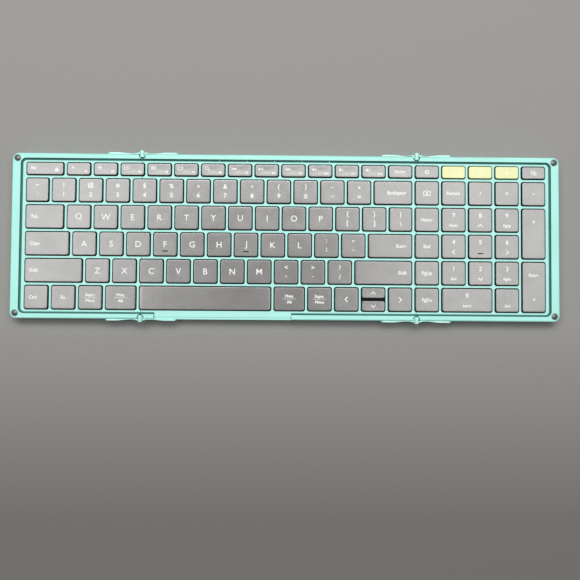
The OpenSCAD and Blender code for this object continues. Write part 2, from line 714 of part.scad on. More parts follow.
module keycap(b, marked) {
    e = key_edge;
    difference() {
        intersection() {
            slab(b, key_corner, key_z, key_top);
            translate([0, b[3], 0]) rotate([90, 0, 0]) linear_extrude(b[3] - b[1]) polygon([
                [b[0], key_z], [b[2], key_z], [b[2], key_top - e],
                [b[2] - e, key_top], [b[0] + e, key_top], [b[0], key_top - e]]);
            translate([b[0], 0, 0]) rotate([90, 0, 90]) linear_extrude(b[2] - b[0]) polygon([
                [b[1], key_z], [b[3], key_z], [b[3], key_top - e],
                [b[3] - e, key_top], [b[1] + e, key_top], [b[1], key_top - e]]);
        }
        slab(inset(b, skirt_wall), max(key_corner - skirt_wall, 0.4), key_z - 1, key_top - key_wall);
    }
    translate([mid_x(b), mid_y(b), 0]) {
        h = key_top - key_wall - plunger_z;
        translate([0, 0, plunger_z]) cylinder(h = h + EPS, d = 2.8);
        // Clips that hold the ends of the links
        for (x = [-1, 1], y = [-1, 1])
            translate([x * (link_w(b) / 2 - 1.2) - 0.8, y * (link_d(b) / 2 - 0.5) - 0.5, key_top - key_wall - 0.5])
                cube([1.6, 1, 0.5 + EPS]);
        if (marked)
            translate([-2, -(b[3] - b[1]) / 2 + 3, key_top - EPS]) cube([4, 0.7, mark_height + EPS]);
    }
}

module keys(p, groups) {
    for (c = cells_of(p, groups)) for (b = caps_of(c))
        keycap(b, len([for (m = MARKED) if (m == [c[6], c[7]]) m]) > 0);
}
module left_function_keys() color(CHARCOAL) keys(LEFT, ["function"]);
module left_number_keys() color(CHARCOAL) keys(LEFT, ["number"]);
module left_letter_keys() color(CHARCOAL) keys(LEFT, ["letter"]);
module tab_key() color(CHARCOAL) keys(LEFT, ["tab"]);
module caps_lock_key() color(CHARCOAL) keys(LEFT, ["caps"]);
module left_shift_key() color(CHARCOAL) keys(LEFT, ["left_shift"]);
module left_modifier_keys() color(CHARCOAL) keys(LEFT, ["modifier"]);
module middle_function_keys() color(CHARCOAL) keys(MIDDLE, ["function"]);
module middle_number_keys() color(CHARCOAL) keys(MIDDLE, ["number"]);
module middle_letter_keys() color(CHARCOAL) keys(MIDDLE, ["letter"]);
module backspace_key() color(CHARCOAL) keys(MIDDLE, ["backspace"]);
module enter_key() color(CHARCOAL) keys(MIDDLE, ["enter"]);
module right_shift_key() color(CHARCOAL) keys(MIDDLE, ["right_shift"]);
module space_bar() color(CHARCOAL) keys(MIDDLE, ["space"]);
module middle_modifier_keys() color(CHARCOAL) keys(MIDDLE, ["modifier"]);
module arrow_keys() color(CHARCOAL) keys(MIDDLE, ["arrow", "half_arrows"]);
module channel_keys() color(YELLOW) keys(RIGHT, ["channel"]);
module navigation_keys() color(CHARCOAL) keys(RIGHT, ["navigation"]);
module number_pad_keys() color(CHARCOAL) keys(RIGHT, ["pad"]);
module pad_zero_key() color(CHARCOAL) keys(RIGHT, ["zero"]);
module pad_plus_key() color(CHARCOAL) keys(RIGHT, ["plus"]);
module pad_enter_key() color(CHARCOAL) keys(RIGHT, ["pad_enter"]);

// Hinges

// Each leaf is drawn for a panel on the +X side of a rear hinge, from the axis and the wall's face
pad_z = axis_z - 3.3;
knuckle_gap = 0.1;
inner_start = barrel_seg - barrel_out + knuckle_gap;
leaf_gap = 0.15;

module leaf_arm() {
    t0 = barrel_d / 2 + leaf_gap;
    top = axis_z - 0.2;
    r = pad_height / 2;
    low = pad_z - r;
    intersection() {
        // Thickness along the arm, seen from above
        linear_extrude(axis_z) polygon([[t0, 0], [t0, 0.8], [3.4, 0.7], [4.4, 0.35], [9, 0.35],
            [leaf_reach - 9, pad_wall], [leaf_reach - 0.8, pad_wall], [leaf_reach, 0.5], [leaf_reach, 0]]);
        // Outline of the arm, seen from the rear
        translate([0, 3, 0]) rotate([90, 0, 0]) linear_extrude(4) {
            polygon([[t0, top], [t0, axis_z - 2.2], [4, low + 1.3], [8, low + 0.4], [leaf_reach - 8.4, low],
                [leaf_reach - r, low], [leaf_reach - r, low + pad_height], [8.4, low + pad_height], [6, top]]);
            translate([leaf_reach - r, pad_z]) circle(r);
        }
    }
}

// Barrel segment from y0 to y1, with its bore
module barrel(y0, y1) {
    difference() {
        union() {
            translate([0, y1, axis_z]) rotate([90, 0, 0]) cylinder(h = y1 - y0, d = barrel_d);
            children();
        }
        translate([0, y1 + 4, axis_z]) rotate([90, 0, 0])
            cylinder(h = y1 - y0 + 8, d = pin_d + 2 * pin_play);
    }
}

// Leaf of a side panel, which owns the outer barrel segment
module side_leaf() {
    barrel(barrel_out - barrel_seg, barrel_out) {
        leaf_arm();
        translate([0.8, 0, axis_z - 1.7]) cube([barrel_d / 2, 1, 1.5]);
    }
}

// Leaf of the middle panel, whose tab reaches round to the inner barrel segment
module middle_leaf() {
    t0 = barrel_d / 2 + leaf_gap;
    y1 = -inner_start;
    barrel(y1 - barrel_seg, y1) {
        leaf_arm();
        translate([t0, y1 - 0.8, axis_z - 1.7]) cube([0.5, 1.8 - y1, 1.5]);
        translate([1.1, y1 - 0.8, axis_z - 1.7]) cube([t0 + 0.5 - 1.1, 0.8, 1.5]);
    }
}

// Places a child at a hinge of a panel: fold [place, side] and the rear or front wall
module at_hinge(fold, s) {
    translate([fold[0], s * case_d / 2, 0]) mirror([fold[1] > 0 ? 0 : 1, 0, 0]) mirror([0, s > 0 ? 0 : 1, 0]) children();
}

leaf_screw = leaf_reach - 4.2;
leaf_screw_head = 0.55;
module leaf_screw_hole(fold, s) {
    at_hinge(fold, s) translate([leaf_screw, 1, pad_z]) rotate([90, 0, 0])
        cylinder(h = case_wall + 2, d = screw_d + 0.1);
}

module hinge_leaves(p) {
    color(MINT) for (fold = FOLDS[p]) for (s = [-1, 1]) at_hinge(fold, s) difference() {
        if (p == MIDDLE)
            middle_leaf();
        else
            side_leaf();
        translate([leaf_screw, 3, pad_z]) rotate([90, 0, 0]) {
            cylinder(h = 4, d = screw_d + 0.1);
            cylinder(h = 3 - pad_wall + leaf_screw_head, d = 2 * screw_d);
        }
    }
}
module left_hinge_leaves() hinge_leaves(LEFT);
module middle_hinge_leaves() hinge_leaves(MIDDLE);
module right_hinge_leaves() hinge_leaves(RIGHT);

module hinge_pins(p) {
    color(STEEL) for (fold = FOLDS[p]) for (s = [-1, 1]) at_hinge(fold, s)
        translate([0, barrel_out - 0.1, axis_z]) rotate([90, 0, 0])
            cylinder(h = 2 * barrel_seg + knuckle_gap - 0.2, d = pin_d);
}
module left_hinge_pins() hinge_pins(LEFT);
module right_hinge_pins() hinge_pins(RIGHT);

// Bumpers, feet, screws and magnets

module corner_bumpers(p) {
    h = bumper_seat + bumper_proud;
    r = (pow(bumper_d / 2, 2) + 0.36) / (2 * 0.6);
    color(BLACK) for (b = bumpers_of(p)) translate([b[0], b[1], rim_top - bumper_seat]) {
        intersection() {
            cylinder(h = h, d = bumper_d);
            translate([0, 0, h - r]) sphere(r);
        }
        translate([0, 0, bumper_seat - rim_rise + 0.1]) cylinder(h = rim_rise - bumper_seat, d = bumper_d / 2);
    }
}
module left_corner_bumpers() corner_bumpers(LEFT);
module right_corner_bumpers() corner_bumpers(RIGHT);

module feet(p) {
    color(BLACK) for (b = feet_of(p))
        slab(b, 2.4, 0, foot_height + foot_sink);
}
module left_feet() feet(LEFT);
module middle_feet() feet(MIDDLE);
module right_feet() feet(RIGHT);

// Screw with its head at the origin and its thread along +Z
module screw(length, head) {
    difference() {
        union() {
            cylinder(h = head, d = 2 * screw_d - 0.2);
            cylinder(h = length, d = screw_d);
        }
        for (a = [0, 90])
            rotate([0, 0, a]) translate([-0.9, -0.2, -EPS]) cube([1.8, 0.4, 0.55 * head]);
    }
}

module screws(p) {
    color(STEEL) {
        for (b = bosses(p))
            translate([b[0], b[1], foot_height + 0.2]) screw(deck_top - 0.5 - foot_height - 0.2, 0.9);
        for (fold = FOLDS[p]) for (s = [-1, 1])
            at_hinge(fold, s) translate([leaf_screw, pad_wall, pad_z]) rotate([90, 0, 0])
                screw(pad_wall + case_wall - 0.1, leaf_screw_head);
    }
}
module left_screws() screws(LEFT);
module middle_screws() screws(MIDDLE);
module right_screws() screws(RIGHT);

// Disc magnets under the side rims, which hold the folded panels shut
module magnets(p) {
    s = p == LEFT ? -1 : 1;
    color(STEEL) for (y = [-1, 1])
        translate([s * (case_w / 2 - case_wall - 1.3 - magnet_d / 2), y * key_pitch, dome_z])
            cylinder(h = deck_z - dome_z - 0.1, d = magnet_d);
}
module left_magnets() magnets(LEFT);
module right_magnets() magnets(RIGHT);

// Electronics

module main_board() {
    z = board_z;
    top = board_z + board_wall;
    color(BOARD_GREEN) difference() {
        slab([board_x, board_y0, board_x + board_w, board_y1], 1, z, top);
        for (q = BOARD_STUDS)
            translate([q[0], q[1], z - 1]) cylinder(h = 3, d = 1.8);
        // Cut-out in which the charging socket sits
        block([usb_x - usb_w / 2 - 0.2, case_d / 2 - usb_d - 0.3, usb_x + usb_w / 2 + 0.2, case_d], z - 1, top + 1);
    }
    color(BLACK) {
        // Radio chip, charger chip and memory
        block([board_x + 22, board_y0 + 16, board_x + 29, board_y0 + 23], top - EPS, top + 0.9);
        block([board_x + 36, board_y0 + 26, board_x + 40, board_y0 + 30], top - EPS, top + 0.8);
        block([board_x + 14, board_y0 + 24, board_x + 19, board_y0 + 28], top - EPS, top + 0.8);
        // Sockets of the two ribbon cables
        block([board_x + 0.5, ribbon_y - ribbon_w / 2 - 1, board_x + 4, ribbon_y + ribbon_w / 2 + 1], top - EPS, top + 1.2);
        block([board_x + board_w - 4, ribbon_y - ribbon_w / 2 - 1, board_x + board_w - 0.5, ribbon_y + ribbon_w / 2 + 1],
            top - EPS, top + 1.2);
    }
    color(STEEL) {
        // Crystal, sensor for the closed state, and a row of small parts
        block([board_x + 32, board_y0 + 17, board_x + 35, board_y0 + 19], top - EPS, top + 0.7);
        block([board_x + 44, board_y0 + 14, board_x + 47, board_y0 + 16], top - EPS, top + 0.9);
        for (i = [0:7])
            block([board_x + 16 + 3 * i, board_y0 + 10, board_x + 17.6 + 3 * i, board_y0 + 10.8], top - EPS, top + 0.5);
    }
    // Socket of the battery leads
    color(SOCKET_WHITE) block([battery_x - battery_w / 2 + 6, board_y0 + 0.2, battery_x - battery_w / 2 + 12, board_y0 + 4],
        top - EPS, top + 1.2);
}

module battery() {
    b = [battery_x - battery_w / 2, battery_y1 - battery_d, battery_x + battery_w / 2, battery_y1];
    z = floor_z + 0.1;
    lead_z = ribbon_z + 0.4;
    color(STEEL) slab([b[0], b[1], b[2], b[3] - 3], 1.5, z, z + battery_h);
    color(COPPER) block([b[0] + 2, b[3] - 3, b[2] - 2, b[3]], z + 0.4, z + battery_h - 0.6);
    color(BLACK) for (x = [8, 10])
        translate([b[0] + x, board_y0 + 0.2, lead_z]) rotate([90, 0, 0]) cylinder(h = board_y0 + 0.2 - b[3] + 1, d = 0.7);
}

module usb_c_port() {
    r = usb_h / 2;
    w = usb_w / 2 - r;
    color(STEEL) translate([usb_x, case_d / 2, usb_z]) rotate([90, 0, 0]) {
        translate([0, 0, 0.3]) linear_extrude(usb_d - 0.3) difference() {
            union() {
                translate([-w, -r]) square([2 * w, 2 * r]);
                for (s = [-1, 1])
                    translate([s * w, 0]) circle(r);
            }
            translate([-w, -r + usb_wall]) square([2 * w, 2 * (r - usb_wall)]);
            for (s = [-1, 1])
                translate([s * w, 0]) circle(r - usb_wall);
        }
        translate([-w - r, -r + 0.2, usb_d - 0.6]) cube([2 * (w + r), 2 * r - 0.4, 0.6]);
        translate([-3.3, -0.35, 1.2]) cube([6.6, 0.7, usb_d - 1.4]);
    }
}

// Ribbon cable over a fold: side is the panel's direction from the fold
module ribbon(f, s, board_end) {
    x0 = f + s * ribbon_end;
    y0 = ribbon_y - ribbon_w / 2;
    y1 = ribbon_y + ribbon_w / 2;
    color(COPPER) {
        block([min(x0, board_end), y0, max(x0, board_end), y1], ribbon_z, ribbon_z + ribbon_wall);
        block([x0 - ribbon_wall / 2, y0, x0 + ribbon_wall / 2, y1], ribbon_z, sheet_z);
    }
}
module left_flex_cable() ribbon(fold_left, -1, board_x + 0.5);
module right_flex_cable() ribbon(fold_right, 1, board_x + board_w - 0.5);

middle_bottom_cover();
middle_rim_frame();
middle_key_deck();
middle_support_plate();
middle_dome_sheet();
middle_scissor_links();
middle_hinge_leaves();
middle_feet();
middle_screws();
main_board();
battery();
usb_c_port();
left_flex_cable();
right_flex_cable();
left_bottom_cover();
left_rim_frame();
left_key_deck();
left_support_plate();
left_dome_sheet();
left_scissor_links();
left_hinge_leaves();
left_hinge_pins();
left_corner_bumpers();
left_feet();
left_screws();
left_magnets();
right_bottom_cover();
right_rim_frame();
right_key_deck();
right_support_plate();
right_dome_sheet();
right_scissor_links();
right_hinge_leaves();
right_hinge_pins();
right_corner_bumpers();
right_feet();
right_screws();
right_magnets();
left_function_keys();
left_number_keys();
left_letter_keys();
tab_key();
caps_lock_key();
left_shift_key();
left_modifier_keys();
middle_function_keys();
middle_number_keys();
middle_letter_keys();
backspace_key();
enter_key();
right_shift_key();
space_bar();
middle_modifier_keys();
arrow_keys();
channel_keys();
navigation_keys();
number_pad_keys();
pad_zero_key();
pad_plus_key();
pad_enter_key();
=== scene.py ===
"""Looks of a three-panel folding keyboard, built around its packed construction model.

Lengths are in metres unless a name says otherwise, and MM turns millimetres into metres.
"""
import json
import math

import bmesh
import bpy
import numpy as np
from bpy.props import FloatProperty, FloatVectorProperty, IntProperty, PointerProperty
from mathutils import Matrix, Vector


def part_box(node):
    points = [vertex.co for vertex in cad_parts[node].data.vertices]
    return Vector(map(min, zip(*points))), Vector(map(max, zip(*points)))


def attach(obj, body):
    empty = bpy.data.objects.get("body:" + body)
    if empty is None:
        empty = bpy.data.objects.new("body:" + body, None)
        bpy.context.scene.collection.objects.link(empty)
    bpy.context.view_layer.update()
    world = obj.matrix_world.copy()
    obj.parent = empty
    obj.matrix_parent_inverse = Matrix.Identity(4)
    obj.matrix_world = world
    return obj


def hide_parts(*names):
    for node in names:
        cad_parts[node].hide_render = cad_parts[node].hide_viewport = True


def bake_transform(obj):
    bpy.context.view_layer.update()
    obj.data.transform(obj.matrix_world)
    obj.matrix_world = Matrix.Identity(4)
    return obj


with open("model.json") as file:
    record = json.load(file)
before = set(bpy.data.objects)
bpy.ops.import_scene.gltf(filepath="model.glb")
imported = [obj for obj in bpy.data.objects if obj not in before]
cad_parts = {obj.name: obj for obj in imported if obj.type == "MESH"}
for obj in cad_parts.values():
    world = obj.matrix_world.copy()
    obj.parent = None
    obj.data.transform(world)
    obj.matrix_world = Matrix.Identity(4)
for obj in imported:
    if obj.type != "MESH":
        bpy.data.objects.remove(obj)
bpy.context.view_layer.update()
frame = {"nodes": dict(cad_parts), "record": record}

bl_info = {
    "name": "Folding Keyboard",
    "version": (1, 0, 0),
    "blender": (4, 5, 0),
    "location": "3D View > Sidebar > Keyboard",
    "description": "Keycaps, legends, case, hinges and finishes of a three-panel folding keyboard",
    "category": "Object",
}

MM = 0.001
PANELS = ("left", "middle", "right")
BODY_OF = {n: b for b, nodes in frame["record"]["behaviour"]["bodies"].items() for n in nodes}
# Vertices of a construction model closer than this are one
MERGE = 0.002 * MM


# Settings

class KeycapSettings(bpy.types.PropertyGroup):
    """Shape and finish of the keycaps."""
    draft: FloatProperty(name="Draft", description="How far a keycap's side leans in on its way up",
                         default=0.07 * MM, unit="LENGTH")
    edge: FloatProperty(name="Edge", description="Radius of the rounding round a keycap's top",
                        default=0.33 * MM, unit="LENGTH")
    dish: FloatProperty(name="Dish", description="Depth of the hollow in a keycap's top",
                        default=0.07 * MM, unit="LENGTH")
    corner: FloatProperty(name="Corner", description="Corner radius of a keycap, seen from above",
                          default=1.5 * MM, unit="LENGTH")
    skirt_wall: FloatProperty(name="Skirt wall", description="Side wall of a keycap",
                              default=0.9 * MM, unit="LENGTH")
    top_wall: FloatProperty(name="Top wall", description="Top wall of a keycap",
                            default=1.0 * MM, unit="LENGTH")
    corner_steps: IntProperty(name="Corner steps", description="Steps in each rounded corner",
                              default=6, min=3)
    # One charcoal plastic: grey tops partly painted sheen, near-black skirts partly painted shade
    top_colour_and_sheen: FloatVectorProperty(name="Top", description="Colour of the charcoal tops",
                                    subtype="COLOR", size=4, default=(0.142, 0.137, 0.129, 1))
    side_colour_and_shade: FloatVectorProperty(name="Side", description="Colour of the charcoal skirts",
                                     subtype="COLOR", size=4, default=(0.008, 0.009, 0.009, 1))
    # Yellow skirts: the yellow darkened as painted shade
    accent_top: FloatVectorProperty(name="Accent top", description="Colour of the yellow tops",
                                    subtype="COLOR", size=4, default=(0.87, 0.89, 0.48, 1))
    accent_side_and_shade: FloatVectorProperty(name="Accent side", description="Colour of the yellow skirts",
                                     subtype="COLOR", size=4, default=(0.34, 0.36, 0.16, 1))


class LegendSettings(bpy.types.PropertyGroup):
    """Sizes of the printed legends."""
    letter: FloatProperty(name="Letter", description="Height of a letter",
                          default=4.1 * MM, unit="LENGTH")
    digit: FloatProperty(name="Digit", description="Height of a digit",
                         default=3.0 * MM, unit="LENGTH")
    word: FloatProperty(name="Word", description="Height of a capital in a word",
                        default=2.3 * MM, unit="LENGTH")
    small: FloatProperty(name="Small", description="Height of a capital in a small word",
                         default=1.7 * MM, unit="LENGTH")
    weight: FloatProperty(name="Weight", description="What a stroke is widened by on each side",
                          default=0.05 * MM, unit="LENGTH")
    film: FloatProperty(name="Film", description="How far the ink stands on the keycap",
                        default=0.02 * MM, unit="LENGTH")
    sink: FloatProperty(name="Sink", description="How far the ink reaches into the keycap",
                        default=0.05 * MM, unit="LENGTH")
    colour: FloatVectorProperty(name="Ink", description="Colour of the legends",
                                subtype="COLOR", size=4, default=(0.97, 0.97, 0.96, 1))


class CaseSettings(bpy.types.PropertyGroup):
    """Finish of the moulded and painted case pieces."""
    shell: FloatVectorProperty(name="Shell", description="Colour of the rims and covers",
                               subtype="COLOR", size=4, default=(0.44, 0.90, 0.81, 1))
    # A touch lighter than the shell's mint, as painted light against the shade between the keycaps
    deck: FloatVectorProperty(name="Deck", description="Colour of the key decks", subtype="COLOR",
                              size=4, default=(0.46, 0.91, 0.83, 1))
    # Painted shade of the rims' grooves and step: a dark copy of the shell's mint
    groove: FloatVectorProperty(name="Groove", description="Colour of the rims' grooves",
                                subtype="COLOR", size=4, default=(0.045, 0.18, 0.16, 1))
    metal: FloatVectorProperty(name="Hinge", description="Colour of the painted hinges",
                               subtype="COLOR", size=4, default=(0.46, 0.90, 0.81, 1))
    rubber: FloatVectorProperty(name="Rubber", description="Colour of the bumpers and feet",
                                subtype="COLOR", size=4, default=(0.045, 0.046, 0.048, 1))


class StageSettings(bpy.types.PropertyGroup):
    """Camera, floor and lamps."""
    focal_length: FloatProperty(name="Focal length", description="Focal length in millimetres",
                                default=46.65)
    camera_place: FloatVectorProperty(name="Camera", description="Place of the camera",
                                      subtype="TRANSLATION", size=3,
                                      default=(-0.00338, -0.05764, 0.53979))
    camera_turn: FloatVectorProperty(name="Turn", description="Turn of the camera",
                                     subtype="EULER", size=3,
                                     default=(0.03832, -0.01205, 0.00723))
    far_floor: FloatVectorProperty(name="Far floor", description="Colour of the floor behind",
                                   subtype="COLOR", size=4, default=(0.325, 0.317, 0.303, 1))
    # The near floor is darker as a painted shadow
    near_floor_shadow: FloatVectorProperty(name="Near floor", description="Colour of the floor in front",
                                    subtype="COLOR", size=4, default=(0.186, 0.177, 0.166, 1))
    backdrop: FloatVectorProperty(name="Backdrop", description="Colour seen behind the floor",
                                  subtype="COLOR", size=4, default=(0.34, 0.335, 0.325, 1))
    room: FloatProperty(name="Room", description="Strength of the even light of the room",
                        default=0.2)
    window: FloatProperty(name="Window", description="Brightness of the window; white paper is 1",
                          default=8.0)
    lamp: FloatProperty(name="Lamp", description="Brightness of soft lamps; white paper is 1",
                        default=2.6)
    lamp_height: FloatProperty(name="Lamp height", description="Height of the soft lamps",
                               default=1.35, unit="LENGTH")


# Small helpers

def settings():
    """The add-on's settings, as they stand in the scene."""
    return bpy.context.scene.folding_keyboard


def finish_piece(mesh, name, body, finish, node=None):
    """An object of a mesh, which rides on a body, takes a slot's finish and stands for a node."""
    piece = bpy.data.objects.new(name, mesh)
    bpy.context.scene.collection.objects.link(piece)
    mesh.materials.clear()
    mesh.materials.append(finish)
    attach(piece, body)
    if node:
        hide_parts(node)
    return piece


def mesh_from(name, parts, sharp_angle):
    """One mesh from a list of (points, faces) parts, smooth but for edges sharper than an angle."""
    vertices, faces, start = [], [], 0
    for points, quads in parts:
        vertices.append(np.asarray(points, float).reshape(-1, 3))
        faces += (np.asarray(quads) + start).tolist() if isinstance(quads, np.ndarray) else [
            [i + start for i in face] for face in quads]
        start += len(vertices[-1])
    mesh = bpy.data.meshes.new(name)
    mesh.from_pydata(np.vstack(vertices), [], faces)
    mesh.update()
    mesh.shade_smooth()
    mesh.set_sharp_from_angle(angle=math.radians(sharp_angle))
    return mesh


def values_of(items, name, width, kind=np.float32):
    """A value of all of a mesh's vertices, loops or faces, as an array of width columns."""
    values = np.zeros(len(items) * width, kind)
    items.foreach_get(name, values)
    return values.reshape(-1, width)


def band_faces(rings, count):
    """Quads between successive closed rings of count points each: point j of a ring joins the same
    point of the next ring, and the points after both."""
    i, j = np.meshgrid(np.arange(rings - 1), np.arange(count), indexing="ij")
    a = i * count + j
    b = i * count + (j + 1) % count
    return np.stack([a, a + count, b + count, b], -1).reshape(-1, 4)


def fan_faces(centre, first, count, upward):
    """Triangles from a centre vertex to a closed ring of count points that starts at first."""
    j = np.arange(count)
    k = (j + 1) % count
    ends = (first + j, first + k) if upward else (first + k, first + j)
    return np.stack([np.full(count, centre), *ends], -1)


# Keys whose rear edges round to one multiple of this stand in one row
SAME_ROW = 6 * MM


def islands(node):
    """Boxes (x0, y0, z0, x1, y1, z1) of a node's separate solids, rear row first and left to right.

    Vertices at one place share a number, and every triangle passes its lowest number round until
    nothing changes, so each solid ends up with one number of its own.
    """
    data = frame["nodes"][node].data
    points = values_of(data.vertices, "co", 3)
    data.calc_loop_triangles()
    corners = values_of(data.loop_triangles, "vertices", 3, np.int32).ravel()
    _, same = np.unique(np.round(points / MERGE).astype(np.int64), axis=0, return_inverse=True)
    same = same.reshape(-1)
    corners = same[corners].reshape(-1, 3)
    label = np.arange(same.max() + 1)
    while True:
        lowest = label[corners].min(1)
        passed = label.copy()
        np.minimum.at(passed, corners.ravel(), np.repeat(lowest, 3))
        passed = passed[passed]
        if np.array_equal(passed, label):
            break
        label = passed
    solids, group = np.unique(label[same], return_inverse=True)
    low = np.full((len(solids), 3), np.inf)
    high = -low
    np.minimum.at(low, group.reshape(-1), points)
    np.maximum.at(high, group.reshape(-1), points)
    boxes = np.hstack([low, high])
    row = np.round(boxes[:, 4] / SAME_ROW)
    return boxes[np.lexsort((boxes[:, 0], -row))]


def capped(rings, upper, lower):
    """Closed shape from rings: bands between them, and a fan to a middle point at each end."""
    count = len(rings[0])
    total = len(rings) * count
    points = np.vstack([*rings, [upper], [lower]])
    faces = band_faces(len(rings), count).tolist()
    faces += fan_faces(total, 0, count, True).tolist()
    faces += fan_faces(total + 1, total - count, count, False).tolist()
    return points, faces


def rounded_loop(half_x, half_y, radius, steps):
    """Points of a rounded rectangle about the origin, counter-clockwise from +X.

    Each corner is a quarter circle of steps + 1 points; the straight sides join them.
    """
    angle = np.linspace(0, math.pi / 2, steps + 1)
    quarter = np.arange(4)[:, None] * math.pi / 2
    turn = (quarter + angle[None, :]).ravel()
    centre = np.repeat(np.array([[1, 1], [-1, 1], [-1, -1], [1, -1]], float), steps + 1, axis=0)
    centre *= [half_x - radius, half_y - radius]
    return centre + radius * np.column_stack([np.cos(turn), np.sin(turn)])


# Materials

class Shade:
    """A material under construction: a Principled shader, and short calls that add nodes to it."""

    def __init__(self, name, colour, roughness, metallic=0.0):
        self.material = bpy.data.materials.new(name)
        self.material.use_nodes = True
        self.tree = self.material.node_tree
        self.shader = self.tree.nodes["Principled BSDF"]
        self.shader.inputs["Base Color"].default_value = colour
        self.shader.inputs["Roughness"].default_value = roughness
        self.shader.inputs["Metallic"].default_value = metallic
        self.place = self.node("ShaderNodeTexCoord").outputs["Object"]

    def node(self, kind, **values):
        """A new node with the given values."""
        made = self.tree.nodes.new(kind)
        for key, value in values.items():
            setattr(made, key, value)
        return made

    def link(self, source, target):
        """A link from an output socket to an input socket."""
        self.tree.links.new(source, target)

    def noise(self, scale, detail=3.0, roughness=0.5, stretch=None):
        """Noise on object coordinates, scale in features per metre."""
        made = self.node("ShaderNodeTexNoise")
        made.inputs["Scale"].default_value = scale
        made.inputs["Detail"].default_value = detail
        made.inputs["Roughness"].default_value = roughness
        source = self.place
        if stretch:
            mapping = self.node("ShaderNodeMapping")
            mapping.inputs["Scale"].default_value = stretch
            self.link(source, mapping.inputs["Vector"])
            source = mapping.outputs["Vector"]
        self.link(source, made.inputs["Vector"])
        return made.outputs["Fac"]

    def remap(self, source, low, high, start=0.3, end=0.7):
        """Source between start and end, spread over low to high."""
        made = self.node("ShaderNodeMapRange")
        made.inputs["From Min"].default_value = start
        made.inputs["From Max"].default_value = end
        made.inputs["To Min"].default_value = low
        made.inputs["To Max"].default_value = high
        self.link(source, made.inputs["Value"])
        return made.outputs["Result"]

    def mix(self, factor, first, second):
        """Colour between two colours, or two colour sockets, by a factor socket."""
        made = self.node("ShaderNodeMix", data_type="RGBA")
        self.link(factor, made.inputs["Factor"])
        for name, value in (("A", first), ("B", second)):
            socket = colour_sockets(made.inputs, name)[0]
            if isinstance(value, bpy.types.NodeSocket):
                self.link(value, socket)
            else:
                socket.default_value = value
        return colour_sockets(made.outputs)[0]

    def colour(self, source):
        """The shader's colour from a socket."""
        self.link(source, self.shader.inputs["Base Color"])

    def roughness(self, source):
        """The shader's roughness from a socket."""
        self.link(source, self.shader.inputs["Roughness"])

    def bump(self, height, distance, strength=1.0):
        """Bump of the given depth in metres from a height socket, on top of any bump before it."""
        made = self.node("ShaderNodeBump")
        made.inputs["Strength"].default_value = strength
        made.inputs["Distance"].default_value = distance
        self.link(height, made.inputs["Height"])
        before = self.shader.inputs["Normal"].links
        if before:
            self.link(before[0].from_socket, made.inputs["Normal"])
        self.link(made.outputs["Normal"], self.shader.inputs["Normal"])


def colour_sockets(sockets, name=None):
    """The colour sockets among a Mix node's sockets, which has others of the same names."""
    return [s for s in sockets if s.type == "RGBA" and name in (None, s.name)]


def shaded(colour, factor):
    """A colour made darker or lighter by a factor."""
    return (*[min(1.0, c * factor) for c in colour[:3]], 1)


def moulded(name, colour, roughness=0.46, grain=0.006):
    """Matt moulded plastic: a fine eroded grain, and very slight patches of tone and gloss."""
    made = Shade(name, colour, roughness)
    patches = made.noise(35, 2)
    tone = made.remap(patches, 0, 1)
    made.colour(made.mix(tone, shaded(colour, 0.965), shaded(colour, 1.035)))
    made.roughness(made.remap(made.noise(260, 3), roughness - 0.05, roughness + 0.06))
    made.bump(made.noise(3200, 2), grain * MM)
    made.shader.inputs["Specular IOR Level"].default_value = 0.4
    return made.material


def painted(name, colour):
    """Painted die-cast metal: satin, with the soft unevenness of a sprayed coat."""
    made = Shade(name, colour, 0.3)
    tone = made.remap(made.noise(120, 2), 0, 1)
    made.colour(made.mix(tone, shaded(colour, 0.95), shaded(colour, 1.04)))
    made.roughness(made.remap(made.noise(500, 2), 0.24, 0.36))
    made.bump(made.noise(900, 2), 0.008 * MM)
    made.shader.inputs["Coat Weight"].default_value = 0.8
    made.shader.inputs["Coat Roughness"].default_value = 0.12
    return made.material


def keycap_finish(name, top, index, level):
    """Satin top coat of a keycap: fine grain, faint patches of wear, and a broad sheen.

    The index of refraction and the specular level set how strongly it mirrors the lamps.
    The charcoal colour that most keys give it is partly painted sheen.
    """
    made = Shade(name, top, 0.27)
    patches = made.noise(48, 3, 0.55)
    worn = made.mix(made.remap(patches, 0, 1), shaded(top, 0.92), shaded(top, 1.08))
    flecks = made.noise(1500, 2)
    made.colour(made.mix(made.remap(flecks, 0, 1, 0.35, 0.65), shaded(top, 0.95), worn))
    made.roughness(made.remap(patches, 0.31, 0.24))
    made.bump(made.noise(4200, 2), 0.006 * MM)
    made.shader.inputs["IOR"].default_value = index
    made.shader.inputs["Specular IOR Level"].default_value = level
    return made.material


def skirt_shade_finish(name, side):
    """Uncoated matt keycap sides and inside, with a fine grain, darkened as painted shade."""
    made = Shade(name, side, 0.72)
    tone = made.remap(made.noise(700, 3), 0, 1)
    made.colour(made.mix(tone, shaded(side, 0.85), shaded(side, 1.2)))
    made.roughness(made.remap(made.noise(500, 2), 0.66, 0.8))
    made.bump(made.noise(3000, 2), 0.008 * MM)
    made.shader.inputs["Specular IOR Level"].default_value = 0.15
    return made.material


def ink(name, colour):
    """Printed legend ink, slightly uneven."""
    made = Shade(name, colour, 0.5)
    made.colour(made.mix(made.remap(made.noise(900, 2), 0, 1), shaded(colour, 0.94), colour))
    return made.material


def rubber(name, colour, grain=0.02):
    """Rubber: dull, with a fine cloudy bloom on it."""
    made = Shade(name, colour, 0.75)
    tone = made.remap(made.noise(420, 4), 0, 1)
    made.colour(made.mix(tone, shaded(colour, 0.8), shaded(colour, 1.5)))
    made.roughness(made.remap(made.noise(700, 2), 0.66, 0.86))
    made.bump(made.noise(2600, 3), grain * MM)
    made.shader.inputs["Specular IOR Level"].default_value = 0.35
    return made.material


